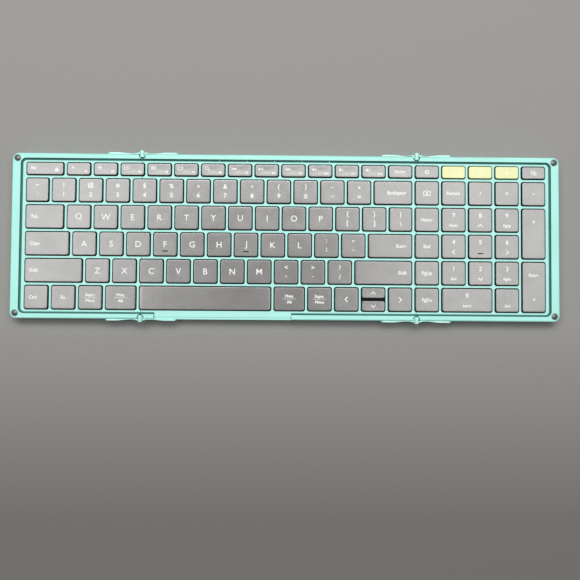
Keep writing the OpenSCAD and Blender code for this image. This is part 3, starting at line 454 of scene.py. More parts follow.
def bumper_rubber(name, colour):
    """Smooth polyurethane of the corner bumpers: the same black, with a satin sheen on the dome."""
    made = Shade(name, colour, 0.34)
    tone = made.remap(made.noise(600, 3), 0, 1)
    made.colour(made.mix(tone, shaded(colour, 0.75), shaded(colour, 1.25)))
    made.roughness(made.remap(made.noise(420, 2), 0.28, 0.4))
    made.bump(made.noise(1800, 2), 0.006 * MM)
    made.shader.inputs["IOR"].default_value = 1.7
    made.shader.inputs["Specular IOR Level"].default_value = 0.7
    return made.material


def bare_metal(name, colour, roughness=0.3, along=(1, 1, 1)):
    """Bare metal with faint lines of rolling or turning, along the axis with the small number."""
    made = Shade(name, colour, roughness, 1.0)
    lines = made.noise(900, 3, 0.6, along)
    made.colour(made.mix(made.remap(lines, 0, 1), shaded(colour, 0.86), shaded(colour, 1.08)))
    made.roughness(made.remap(lines, roughness - 0.07, roughness + 0.12))
    made.bump(lines, 0.004 * MM)
    return made.material


def dark_sheet_steel(name, colour):
    """Sheet steel, near black as painted shade, with faint rolling lines."""
    made = Shade(name, colour, 0.5, 0.3)
    lines = made.noise(600, 3, 0.6, (0.05, 1, 1))
    made.colour(made.mix(made.remap(lines, 0, 1), shaded(colour, 0.8), shaded(colour, 1.25)))
    made.roughness(made.remap(lines, 0.44, 0.6))
    made.bump(lines, 0.004 * MM)
    return made.material


def printed_board(name):
    """Green solder mask with paler tracks under it."""
    mask = (0.012, 0.10, 0.055, 1)
    made = Shade(name, mask, 0.35)
    tracks = made.node("ShaderNodeTexBrick")
    tracks.inputs["Scale"].default_value = 420
    tracks.inputs["Mortar Size"].default_value = 0.035
    made.link(made.place, tracks.inputs["Vector"])
    made.colour(made.mix(tracks.outputs["Fac"], mask, (0.03, 0.19, 0.09, 1)))
    made.bump(tracks.outputs["Fac"], 0.01 * MM)
    made.shader.inputs["Coat Weight"].default_value = 0.4
    return made.material


def cell_foil(name):
    """Silver pouch of the battery, slightly crinkled."""
    made = Shade(name, (0.62, 0.63, 0.64, 1), 0.34, 0.9)
    made.bump(made.noise(180, 4, 0.6), 0.12 * MM)
    made.roughness(made.remap(made.noise(90, 3), 0.26, 0.46))
    return made.material


def ribbon_film(name):
    """Amber polyimide film over fine copper tracks that run along the ribbon."""
    made = Shade(name, (0.42, 0.16, 0.03, 1), 0.3)
    tracks = made.node("ShaderNodeTexWave", wave_type="BANDS", bands_direction="Y")
    tracks.inputs["Scale"].default_value = 320
    made.link(made.place, tracks.inputs["Vector"])
    made.colour(made.mix(made.remap(tracks.outputs["Fac"], 0, 1, 0.4, 0.6),
                         (0.36, 0.13, 0.025, 1), (0.62, 0.30, 0.09, 1)))
    made.bump(tracks.outputs["Fac"], 0.01 * MM)
    return made.material


def make_materials():
    """Every finish by its slot's name."""
    caps, case, legend = settings().keycaps, settings().case, settings().legends
    return {
        "mint_shell": moulded("mint_shell_finish", tuple(case.shell)),
        "mint_deck": moulded("mint_deck_finish", tuple(case.deck), 0.5, 0.005),
        "mint_groove_shade": moulded("mint_painted_groove_shade", tuple(case.groove), 0.62, 0.005),
        "mint_metal": painted("mint_metal_finish", tuple(case.metal)),
        # Charcoal tops partly painted sheen; skirts of both colours darkened as painted shade
        "charcoal_keycap": keycap_finish("charcoal_keycap_finish", tuple(caps.top_colour_and_sheen),
                                         index=1.8, level=0.9),
        "charcoal_keycap_skirt": skirt_shade_finish("charcoal_keycap_skirt_painted_shade",
                                              tuple(caps.side_colour_and_shade)),
        "yellow_keycap": keycap_finish("yellow_keycap_finish", tuple(caps.accent_top),
                                       index=1.45, level=0.4),
        "yellow_keycap_skirt": skirt_shade_finish("yellow_keycap_skirt_painted_shade", tuple(caps.accent_side_and_shade)),
        "legend_ink": ink("legend_ink_finish", tuple(legend.colour)),
        "black_rubber": rubber("black_rubber_finish", tuple(case.rubber)),
        "bumper_rubber": bumper_rubber("bumper_rubber_finish", tuple(case.rubber)),
        # Plate, links and dome sheets: near black as painted shade down in the gaps between the
        # keycaps
        "plate_steel": dark_sheet_steel("plate_steel_painted_shade", (0.045, 0.045, 0.048, 1)),
        "screw_steel": bare_metal("screw_steel_finish", (0.50, 0.50, 0.51, 1), 0.28),
        "link_plastic": moulded("link_plastic_painted_shade", (0.012, 0.012, 0.013, 1), 0.42, 0.004),
        "dome_rubber": rubber("dome_rubber_painted_shade", (0.022, 0.022, 0.024, 1), 0.01),
        "board_green": printed_board("board_green_finish"),
        "battery_foil": cell_foil("battery_foil_finish"),
        "port_steel": bare_metal("port_steel_finish", (0.60, 0.60, 0.61, 1), 0.24, (1, 0.1, 1)),
        "flex_copper": ribbon_film("flex_copper_finish"),
        "magnet_nickel": bare_metal("magnet_nickel_finish", (0.66, 0.64, 0.60, 1), 0.16),
    }


MATERIALS = {}


def material(slot):
    """The finish of a slot, made once for all pieces."""
    if not MATERIALS:
        MATERIALS.update(make_materials())
    return MATERIALS[slot]


# Keycaps

KEY_NODES = [
    "left_function_keys", "left_number_keys", "left_letter_keys", "tab_key", "caps_lock_key",
    "left_shift_key", "left_modifier_keys", "middle_function_keys", "middle_number_keys",
    "middle_letter_keys", "backspace_key", "enter_key", "right_shift_key", "space_bar",
    "middle_modifier_keys", "arrow_keys", "channel_keys", "navigation_keys", "number_pad_keys",
    "pad_zero_key", "pad_plus_key", "pad_enter_key",
]
# Keys with a finger mark, by their node
MARKED = {"middle_letter_keys": ["F", "J"], "number_pad_keys": ["5"]}
# Finger mark: its middle from the keycap's front, half its size, the radius of its ends, its rise,
# and its upper edge's rounding
MARK_PLACE = 3.35 * MM
MARK_HALF = (2 * MM, 0.36 * MM)
MARK_RADIUS = 0.34 * MM
MARK_RISE = 0.2 * MM
MARK_EDGE = 0.18 * MM
# Keycap shell: rings of its top as shares of the way out to the edge, steps of the edge's rounding,
# and the steps of that rounding in the top's colour; below them the skirt's painted shade starts
TOP_SHARES = np.array([0.2, 0.4, 0.6, 0.8, 0.95])
EDGE_STEPS = 4
TOP_COLOUR_STEPS = 3
# The shoulder, a little below the rounding, stands in by most of the draft
SHOULDER = 0.15 * MM
SHOULDER_LEAN = 0.9
# Rounding of the skirt's lower edges, and the slope between its inner wall and the roof
LIP = 0.12 * MM
LIP_MIDDLE = 0.3 * LIP
ROOF_SLOPE = 0.3 * MM
# A corner's radius falls by this share of an inset, down to the smallest
CORNER_SHARE = 0.7
SMALLEST_CORNER = 0.35 * MM
# Plunger: its half width, the radius of its corners, how far it hangs from the roof, and its edge
PLUNGER_HALF = (1.4 * MM, 1.4 * MM)
PLUNGER_RADIUS = 1.39 * MM
PLUNGER_DROP = 0.9 * MM
PLUNGER_EDGE = 0.02 * MM
# Steps of a pad's corners and edge, and its smallest corner radius
PAD_STEPS = 4
PAD_CORNER = 0.05 * MM
# How far a post or mark reaches into what carries it
BITE = 0.05 * MM
MARK_BITE = 0.15 * MM


def key_boxes(node):
    """Boxes of a node's keycaps with the finger marks taken off their height."""
    boxes = islands(node)
    boxes[:, 5] = boxes[:, 5].min()
    return boxes


def dish_depth(u, v, depth):
    """Depth of the hollow in a top: depth times (1 - u^2)^2 times (1 - v^2)^2.

    u and v run from -1 to 1 over the top, so the hollow starts level at the edge.
    """
    return depth * (1 - np.clip(u, -1, 1) ** 2) ** 2 * (1 - np.clip(v, -1, 1) ** 2) ** 2


def top_height(box, x, y):
    """Height of a keycap's top at places x, y."""
    caps = settings().keycaps
    middle = (box[:2] + box[3:5]) / 2
    half = (box[3:5] - box[:2]) / 2 - caps.draft - caps.edge
    return box[5] - dish_depth((x - middle[0]) / half[0], (y - middle[1]) / half[1], caps.dish)


def keycap(box):
    """Closed keycap shell: one profile carried round a rounded rectangle.

    The profile starts in the middle of the top, follows the hollow out to the edge, turns down by a
    quarter circle, leans out with the draft to the bottom of the skirt, turns under it, and comes
    back up the inner wall and along the roof to the middle.
    """
    caps = settings().keycaps
    middle = (box[:2] + box[3:5]) / 2
    half = (box[3:5] - box[:2]) / 2
    low, top = box[2], box[5]
    roof = top - caps.top_wall
    plateau = caps.draft + caps.edge
    turn = np.linspace(0, math.pi / 2, EDGE_STEPS + 1)
    outer = [(caps.draft + caps.edge * (1 - math.sin(a)), top - caps.edge * (1 - math.cos(a)))
             for a in turn]
    outer += [(caps.draft * SHOULDER_LEAN, top - caps.edge - SHOULDER), (0.0, low + LIP),
              (LIP_MIDDLE, low + LIP_MIDDLE), (LIP, low)]
    inner = [(caps.skirt_wall - LIP, low), (caps.skirt_wall, low + LIP),
             (caps.skirt_wall, roof - ROOF_SLOPE), (caps.skirt_wall + ROOF_SLOPE, roof)]

    def loop(inset):
        radius = max(caps.corner - CORNER_SHARE * inset, SMALLEST_CORNER)
        return rounded_loop(half[0] - inset, half[1] - inset, radius, caps.corner_steps)

    rings = []
    for share in TOP_SHARES:
        flat = loop(plateau) * share
        u, v = (flat / (half - plateau)).T
        rings.append(np.column_stack([flat + middle, top - dish_depth(u, v, caps.dish)]))
    for inset, z in outer + inner:
        flat = loop(inset) + middle
        rings.append(np.column_stack([flat, np.full(len(flat), z)]))
    points, faces = capped(rings, (*middle, top - caps.dish), (*middle, roof))
    count = len(rings[0])
    # Faces below the top's colour take the skirt's painted shade
    skirt = np.ones(len(faces), int)
    skirt[:(len(TOP_SHARES) + TOP_COLOUR_STEPS) * count] = 0
    fan = (len(rings) - 1) * count
    skirt[fan:fan + count] = 0
    return points, faces, skirt


def pad(middle, half, radius, z0, z1, rounding):
    """Closed pad: a rounded rectangle carried up from z0 to z1, turned in by a quarter circle."""
    turn = np.linspace(0, math.pi / 2, PAD_STEPS)
    profile = [(rounding * (1 - math.sin(a)), z1 - rounding * (1 - math.cos(a))) for a in turn]
    rings = []
    for inset, z in profile + [(0, z0)]:
        corner = max(radius - inset, PAD_CORNER)
        flat = rounded_loop(half[0] - inset, half[1] - inset, corner, PAD_STEPS)
        rings.append(np.column_stack([flat + middle, np.full(len(flat), z)]))
    return capped(rings, (*middle, z1), (*middle, z0))


def plunger(box):
    """Post under a keycap that presses the dome: a round pad that hangs from the roof."""
    middle = (box[:2] + box[3:5]) / 2
    roof = box[5] - settings().keycaps.top_wall
    return pad(middle, PLUNGER_HALF, PLUNGER_RADIUS, roof - PLUNGER_DROP, roof + BITE, PLUNGER_EDGE)


def finger_mark(box):
    """Raised bar low on a home key: a pad with rounded ends."""
    middle = np.array([(box[0] + box[3]) / 2, box[1] + MARK_PLACE])
    return pad(middle, MARK_HALF, MARK_RADIUS, box[5] - MARK_BITE, box[5] + MARK_RISE, MARK_EDGE)


def build_keycaps(node):
    """All keycaps of one node as one piece, coated tops partly painted sheen, skirts painted shade.
    """
    slot = "yellow_keycap" if node == "channel_keys" else "charcoal_keycap"
    labels = LEGENDS[node]
    parts, finishes = [], []
    for box, label in zip(key_boxes(node), labels):
        shell = keycap(box)
        post = plunger(box)
        parts += [shell[:2], post]
        finishes += [shell[2], np.ones(len(post[1]), int)]
        if label[0] in MARKED.get(node, []):
            mark = finger_mark(box)
            parts.append(mark)
            finishes.append(np.ones(len(mark[1]), int))
    mesh = mesh_from(node + "_caps", parts, 35)
    piece = finish_piece(mesh, node + "_caps", BODY_OF[node], material(slot), node)
    mesh.materials.append(material(slot + "_skirt"))
    mesh.polygons.foreach_set("material_index", np.concatenate(finishes).astype(np.int32))
    return piece


# Legends

# Points of a text outline closer than this share of its height are one
OUTLINE_MERGE = 1e-4


def text_shape(words, weight=0.0):
    """Flat shape of a word in the built-in face, one unit high, as points and triangles.

    The weight is what each stroke is widened by on each side.
    """
    curve = bpy.data.curves.new("words", "FONT")
    curve.body = words
    curve.size = 1.0
    curve.offset = weight
    curve.resolution_u = 3
    holder = bpy.data.objects.new("words", curve)
    bpy.context.scene.collection.objects.link(holder)
    bpy.context.view_layer.update()
    flat = bpy.data.meshes.new_from_object(holder)
    bm = bmesh.new()
    bm.from_mesh(flat)
    bmesh.ops.remove_doubles(bm, verts=bm.verts, dist=OUTLINE_MERGE)
    bmesh.ops.triangulate(bm, faces=bm.faces)
    bm.to_mesh(flat)
    bm.free()
    points = values_of(flat.vertices, "co", 3)[:, :2].astype(float)
    faces = values_of(flat.loops, "vertex_index", 1, np.int32).reshape(-1, 3).astype(int)
    bpy.data.objects.remove(holder)
    bpy.data.curves.remove(curve)
    bpy.data.meshes.remove(flat)
    return points, faces


# The built-in face's capital height, measured once
CAP_HEIGHT = []
# Legends lower than this have their strokes widened more, or they would be lost
FINE_HEIGHT = 3.5 * MM
FINE_WEIGHT = 2.1


def words_at(words, height, x, y, align="centre"):
    """A word of the given capital height, centred on x, y or starting or ending at x."""
    if not CAP_HEIGHT:
        CAP_HEIGHT.append(np.ptp(text_shape("H")[0][:, 1]))
    scale = height / CAP_HEIGHT[0]
    weight = settings().legends.weight * (1 if height > FINE_HEIGHT else FINE_WEIGHT)
    points, faces = text_shape(words, weight / scale)
    points = points * scale
    low, high = points.min(0), points.max(0)
    start = {"centre": (low[0] + high[0]) / 2, "left": low[0], "right": high[0]}[align]
    middle = height / 2 if len(words) > 1 else (low[1] + high[1]) / 2
    return points - [start, middle] + [x, y], faces


# A mitre is lengthened as if its corner leaned no more than this
SHARPEST_MITRE = 0.4


def stroke(path, width, closed=False):
    """Flat band along a path: each point moved half the width to both sides, along the middle
    direction of its two neighbours' normals, and further where the path turns."""
    path = np.asarray(path, float)
    ahead = np.roll(path, -1, 0) - path
    behind = path - np.roll(path, 1, 0)
    if not closed:
        ahead[-1] = behind[-1]
        behind[0] = ahead[0]
    ahead /= np.linalg.norm(ahead, axis=1)[:, None]
    behind /= np.linalg.norm(behind, axis=1)[:, None]
    normal = np.stack([-(ahead + behind)[:, 1], (ahead + behind)[:, 0]], 1)
    normal /= np.linalg.norm(normal, axis=1)[:, None]
    lean = np.abs(normal[:, 0] * -ahead[:, 1] + normal[:, 1] * ahead[:, 0])
    normal *= (width / 2 / np.maximum(lean, SHARPEST_MITRE))[:, None]
    count = len(path)
    points = np.vstack([path - normal, path + normal])
    i = np.arange(count if closed else count - 1)
    k = (i + 1) % count
    faces = [np.stack([i, k, k + count], 1), np.stack([i, k + count, i + count], 1)]
    return points, np.vstack(faces)


def disc(x, y, radius, steps=14):
    """Flat disc as a fan round its middle."""
    angle = np.arange(steps) * 2 * math.pi / steps
    rim = np.stack([x + radius * np.cos(angle), y + radius * np.sin(angle)], 1)
    points = np.vstack([[[x, y]], rim])
    return points, fan_faces(0, 1, steps, True)


def ring(x, y, radius, width, steps=18, start=0.0, turn=2 * math.pi):
    """Flat ring, or a part of one that starts at an angle."""
    closed = turn >= 2 * math.pi
    angle = start + np.linspace(0, turn, steps, endpoint=not closed)
    path = np.stack([x + radius * np.cos(angle), y + radius * np.sin(angle)], 1)
    return stroke(path, width, closed)


def polygon(points):
    """Flat convex polygon as a fan from its first point."""
    points = np.asarray(points, float)
    i = np.arange(1, len(points) - 1)
    return points, np.stack([np.zeros_like(i), i, i + 1], 1)


def line(x0, y0, x1, y1, width):
    """Flat straight band from one place to another."""
    return stroke([[x0, y0], [x1, y1]], width)


def rays(count, inner, outer, width):
    """Short lines that point away from the origin, as round a sun."""
    return [line(inner * math.cos(a), inner * math.sin(a), outer * math.cos(a),
                 outer * math.sin(a), width)
            for a in np.arange(count) * 2 * math.pi / count]


def rectangle(half_x, half_y, x=0.0, y=0.0):
    """Corners of a rectangle about x, y, counter-clockwise."""
    return [[x - half_x, y - half_y], [x + half_x, y - half_y], [x + half_x, y + half_y],
            [x - half_x, y + half_y]]


# Icons are drawn about the origin in a square one unit wide
THIN = 0.10
SPEAKER = [polygon([[-0.45, -0.13], [-0.28, -0.13], [-0.28, 0.13], [-0.45, 0.13]]),
           polygon([[-0.30, -0.13], [-0.05, -0.36], [-0.05, 0.36], [-0.30, 0.13]])]


def triangle(x, size, way):
    """Triangle that points along X, as on a play key."""
    tip, base = x + way * size / 2, x - way * size / 2
    corners = [[base, -size * 0.55], [tip, 0], [base, size * 0.55]]
    return polygon(corners if way > 0 else corners[::-1])


def chevron(angle, size=0.62):
    """Open arrow head that points at an angle in degrees."""
    a = math.radians(angle)
    path = np.array([[-0.25, 0.5], [0.25, 0], [-0.25, -0.5]]) * size
    turn = np.array([[math.cos(a), math.sin(a)], [-math.sin(a), math.cos(a)]])
    return [stroke(path @ turn, 0.115)]


ICONS = {
    "lock": [polygon(rectangle(0.34, 0.25, 0, -0.17)), ring(0, 0.08, 0.2, THIN, 10, 0, math.pi)],
    "dim": [disc(0, 0, 0.17)] + rays(8, 0.27, 0.36, 0.07),
    "bright": [disc(0, 0, 0.22)] + rays(8, 0.32, 0.5, 0.08),
    "panes": [stroke(rectangle(0.275, 0.23, -0.175, -0.07), 0.08, True),
              stroke([[-0.14, 0.34], [0.45, 0.34], [0.45, -0.1], [0.22, -0.1]], 0.08)],
    "grid": [polygon(rectangle(0.1, 0.14, x, y)) for x in (-0.32, 0, 0.32) for y in (-0.19, 0.19)],
    "tag": [stroke(rectangle(0.375, 0.28, -0.075), 0.09, True),
            line(0.42, -0.12, 0.42, 0.34, 0.08)],
    "glass": [ring(-0.1, 0.1, 0.26, THIN), line(0.09, -0.09, 0.42, -0.42, 0.13)],
    "back": [line(-0.42, -0.28, -0.42, 0.28, 0.09), triangle(-0.18, 0.42, -1),
             triangle(0.2, 0.42, -1)],
    "play": [triangle(-0.22, 0.46, 1), line(0.14, -0.27, 0.14, 0.27, THIN),
             line(0.36, -0.27, 0.36, 0.27, THIN)],
    "next": [line(0.42, -0.28, 0.42, 0.28, 0.09), triangle(0.18, 0.42, 1), triangle(-0.2, 0.42, 1)],
    "mute": SPEAKER + [line(0.12, -0.18, 0.44, 0.18, 0.09), line(0.12, 0.18, 0.44, -0.18, 0.09)],
    "softer": SPEAKER + [ring(-0.02, 0, 0.24, 0.08, 8, -0.9, 1.8)],
    "louder": SPEAKER + [ring(-0.02, 0, 0.24, 0.08, 8, -0.9, 1.8),
                         ring(-0.02, 0, 0.42, 0.08, 10, -0.9, 1.8)],
    "gear": [ring(0, 0, 0.26, 0.15)] + rays(8, 0.3, 0.44, 0.13),
    "camera": [stroke([[-0.45, -0.3], [0.45, -0.3], [0.45, 0.2], [0.2, 0.2], [0.12, 0.34],
                       [-0.12, 0.34], [-0.2, 0.2], [-0.45, 0.2]], 0.09, True),
               ring(0, -0.05, 0.15, 0.09)],
    "calculator": [ring(-0.12, 0.05, 0.27, 0.11), ring(0.2, -0.12, 0.24, 0.11)],
    "left": chevron(180), "right": chevron(0), "up": chevron(90), "down": chevron(-90),
}


def icon_at(name, size, x, y):
    """An icon of the given size about x, y."""
    return [(points * size + [x, y], faces) for points, faces in ICONS[name]]


def ink_slab(shape, box):
    """A flat shape as closed ink on a keycap.

    Its top is the keycap's top height plus the film, its underside the same height less the sink,
    and a wall stands on each edge that only one triangle has.
    """
    points, faces = shape
    legend = settings().legends
    height = top_height(box, points[:, 0], points[:, 1])
    upper = np.column_stack([points, height + legend.film])
    lower = np.column_stack([points, height - legend.sink])
    count = len(points)
    start, end = faces.ravel(), faces[:, [1, 2, 0]].ravel()
    ways = start * count + end
    start, end = np.divmod(np.sort(ways[~np.isin(ways, end * count + start)]), count)
    walls = np.stack([start + count, end + count, end, start], 1)
    return np.vstack([upper, lower]), [*faces.tolist(), *(faces[:, ::-1] + count).tolist(),
                                       *walls.tolist()]


# Insets of legends from a keycap's left or right side
LEFT_WORD, RIGHT_WORD = 3.3 * MM, 3.6 * MM
FN_ICON_IN, FN_NUMBER_IN, LOCK_IN = 4.1 * MM, 2.0 * MM, 4.6 * MM
# Rise of legends over a keycap's middle, or their drop below it
SIGN_RISE, SIGN_DROP = 3.3 * MM, 3.1 * MM
FN_ICON_RISE, FN_NUMBER_DROP = 0.9 * MM, 1.8 * MM
ESCAPE_RISE, LOCK_DROP = 0.5 * MM, 0.6 * MM
OVER_RISE, OVER_DROP = 2.0 * MM, 2.1 * MM
PAD_DROP = 3.9 * MM
TALL_SHIFT = 8.6 * MM
# Heights of legends that aren't letters, digits or words, and the line between two words
FN_NUMBER, FN_ICON, LOCK_ICON, PAD_ICON = 1.5 * MM, 3.7 * MM, 3.6 * MM, 5.4 * MM
OVER_LINE_HALF, OVER_LINE_WIDTH = 4.6 * MM, 0.22 * MM
# Heights of two kinds of small words, as shares of the small height
ESCAPE_SHARE, OVER_SHARE = 1.1, 1.15


def key_marks(box, label):
    """Flat shapes of a keycap's legend.

    A label is its words, its kind, then the icon or words that go with it, and a height in
    millimetres where the kind's own doesn't serve.
    """
    legend = settings().legends
    text, kind = label[:2]
    other = label[2] if len(label) > 2 else ""
    height = label[3] * MM if len(label) > 3 else legend.word
    x, y = (box[:2] + box[3:5]) / 2
    left, right = box[0], box[3]
    if kind == "letter":
        return [words_at(text, legend.letter, x, y)]
    if kind == "pair":
        return [words_at(text, legend.digit, x, y - SIGN_DROP),
                words_at(other, legend.digit, x, y + SIGN_RISE)]
    if kind == "fn":
        return icon_at(other, FN_ICON, left + FN_ICON_IN, y + FN_ICON_RISE) + [
            words_at(text, FN_NUMBER, right - FN_NUMBER_IN, y - FN_NUMBER_DROP, "right")]
    if kind == "escape":
        size = legend.small * ESCAPE_SHARE
        return [words_at(text, size, left + LEFT_WORD, y + ESCAPE_RISE, "left")] + icon_at(
            "lock", LOCK_ICON, right - LOCK_IN, y - LOCK_DROP)
    if kind == "left":
        return [words_at(text, legend.word, left + LEFT_WORD, y, "left")]
    if kind == "right":
        return [words_at(text, legend.word, right - RIGHT_WORD, y, "right")]
    if kind == "word":
        return [words_at(text, height, x, y)]
    if kind == "over":
        size = legend.small * OVER_SHARE
        return [words_at(text, size, x, y + OVER_RISE), words_at(other, size, x, y - OVER_DROP),
                line(x - OVER_LINE_HALF, y, x + OVER_LINE_HALF, y, OVER_LINE_WIDTH)]
    if kind == "icon":
        return icon_at(text, height, x, y)
    if kind == "pad":
        shapes = [words_at(text, legend.digit, x, y + SIGN_RISE)]
        if other in ICONS:
            return shapes + icon_at(other, PAD_ICON, x, y - PAD_DROP)
        return shapes + ([words_at(other, legend.small, x, y - PAD_DROP)] if other else [])
    if kind == "tall":
        shapes = [words_at(text, height, x, y + TALL_SHIFT)]
        return shapes + ([words_at(other, legend.word, x, y - TALL_SHIFT)] if other else [])
    return []


def letters(row):
    """Labels of letter keys, from their letters."""
    return [(c, "letter") for c in row]


def pairs(row):
    """Labels of keys with two signs, each pair written upper sign first."""
    return [(pair[1], "pair", pair[0]) for pair in row.split()]


# Labels of every node's keys, in reading order
LEGENDS = {
    "left_function_keys": [
        ("Esc", "escape"), ("F1", "fn", "dim"), ("F2", "fn", "bright"), ("F3", "fn", "panes")],
    "left_number_keys": pairs("~` !1 @2 #3"),
    "left_letter_keys": letters("QWEASDZX"),
    "tab_key": [("Tab", "left")],
    "caps_lock_key": [("Caps", "left")],
    "left_shift_key": [("Shift", "left")],
    "left_modifier_keys": [
        ("Ctrl", "left"), ("Fn", "word"), ("Super", "over", "Menu"), ("Meta", "over", "Alt")],
    "middle_function_keys": [
        ("F4", "fn", "grid"), ("F5", "fn", "tag"), ("F6", "fn", "glass"), ("F7", "fn", "back"),
        ("F8", "fn", "play"), ("F9", "fn", "next"), ("F10", "fn", "mute"), ("F11", "fn", "softer"),
        ("F12", "fn", "louder"), ("Delete", "word", "", 1.9)],
    "middle_number_keys": pairs("$4 %5 ^6 &7 *8 (9 )0 _- +="),
    "middle_letter_keys": (letters("RTYUIOP") + pairs("{[ }] |\\") + letters("FGHJKL")
                           + pairs(":; \"'") + letters("CVBNM") + pairs("<, >. ?/")),
    "backspace_key": [("Backspace", "right")],
    "enter_key": [("Enter", "right")],
    "right_shift_key": [("Shift", "right")],
    "space_bar": [("", "bare")],
    "middle_modifier_keys": [("Meta", "over", "Alt"), ("Super", "over", "Menu")],
    "arrow_keys": [("left", "icon", "", 6), ("up", "icon", "", 5), ("right", "icon", "", 6),
                   ("down", "icon", "", 5)],
    "channel_keys": [("1", "word"), ("2", "word"), ("3", "word")],
    "navigation_keys": [
        ("gear", "icon", "", 3.8), ("calculator", "icon", "", 4.4), ("camera", "icon", "", 5.4),
        ("Home", "word"), ("End", "word"), ("PgUp", "word"), ("PgDn", "word")],
    "number_pad_keys": [
        ("NumLk", "word", "", 2.2), ("/", "word", "", 3.0), ("*", "word", "", 3.4),
        ("-", "word", "", 3.2),
        ("7", "pad", "Home"), ("8", "pad", "up"), ("9", "pad", "PgUp"),
        ("4", "pad", "left"), ("5", "pad"), ("6", "pad", "right"),
        ("1", "pad", "End"), ("2", "pad", "down"), ("3", "pad", "PgDn"), (".", "pad", "Del")],
    "pad_zero_key": [("0", "pad", "Insert")],
    "pad_plus_key": [("+", "tall", "", 2.9)],
    "pad_enter_key": [("Enter", "tall", "=")],
}


def build_legends(node):
    """All printed legends of one node's keys as one piece."""
    parts = []
    boxes = key_boxes(node)
    if len(boxes) != len(LEGENDS[node]):
        raise RuntimeError(f"{node} has {len(boxes)} keys and {len(LEGENDS[node])} legends")
    for box, label in zip(boxes, LEGENDS[node]):
        parts += [ink_slab(shape, box) for shape in key_marks(box, label)]
    if parts:
        mesh = mesh_from(node + "_legends", parts, 20)
        finish_piece(mesh, node + "_legends", BODY_OF[node], material("legend_ink"))


# Case pieces

DECK_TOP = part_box("middle_key_deck")[1][2]
FOLDS = (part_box("middle_key_deck")[0][0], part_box("middle_key_deck")[1][0])
# Groove walls, which take painted shade: least distance from the folds and from the outer walls,
# and most rise of a normal
FOLD_MARGIN = 0.6 * MM
OUTER_MARGIN = 0.06 * MM
UPRIGHT = 0.3
# The step's slope, which also takes painted shade: above the deck by this, below the rim's flat
# top by this, and in from outside
STEP_RISE = 0.01 * MM
STEP_DROP = 0.5 * MM
STEP_INSET = 2.5 * MM
# Edges sharper than this in degrees stay sharp; a normal this long along one axis is a flat face's
SHARP_EDGE = 34
AXIAL = 0.9995


def shaded_groove_faces(centre, normal):
    """Which faces of a rim lie in its grooves, from the faces' middles and normals.

    They are the upright faces that stand back from the outer walls and from the folds, and the
    slope of the step between the deck and the rim's flat top; all of them take painted shade.
    """
    outline = np.array([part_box(panel + "_rim_frame") for panel in PANELS])
    low, high = outline[:, 0].min(0), outline[:, 1].max(0)
    back = np.minimum(centre[:, :2] - low[:2], high[:2] - centre[:, :2]).min(1)
    clear = np.abs(centre[:, :1] - np.array([FOLDS])).min(1) > FOLD_MARGIN
    walls = (np.abs(normal[:, 2]) < UPRIGHT) & (back > OUTER_MARGIN) & clear
    height = centre[:, 2]
    step = (height > DECK_TOP + STEP_RISE) & (height < high[2] - STEP_DROP)
    return walls | step & (back > STEP_INSET)


def moulding(node, slot, shade_grooves=True):
    """The node's own surface, merged: flat faces stay flat, rounded edges turn smooth.

    On a rim the faces of its grooves and step take painted shade, as shaded_groove_faces picks
    them.
    """
    bm = bmesh.new()
    bm.from_mesh(frame["nodes"][node].data)
    bmesh.ops.remove_doubles(bm, verts=bm.verts, dist=MERGE)
    mesh = bpy.data.meshes.new(node + "_moulding")
    bm.to_mesh(mesh)
    bm.free()
    mesh.set_sharp_from_angle(angle=math.radians(SHARP_EDGE))
    finish_piece(mesh, node + "_moulding", BODY_OF[node], material(slot), node)
    normal = values_of(mesh.polygons, "normal", 3)
    mesh.polygons.foreach_set("use_smooth", abs(normal).max(1) < AXIAL)
    # Painted shade: faces in the grooves and on the step take a dark copy of the mint
    if shade_grooves:
        mesh.materials.append(material("mint_groove_shade"))
        dark = shaded_groove_faces(values_of(mesh.polygons, "center", 3), normal)
        mesh.polygons.foreach_set("material_index", dark.astype(np.int32))


# Ribbon strip: its thickness, the radius of its turn up, and the steps of that turn
RIBBON_WALL = 0.15 * MM
RIBBON_BEND = 1.0 * MM
RIBBON_TURN_STEPS = 6
# The strip is cut finely this far to each side of a fold
RIBBON_FINE = 4 * MM
RIBBON_CUTS = 33


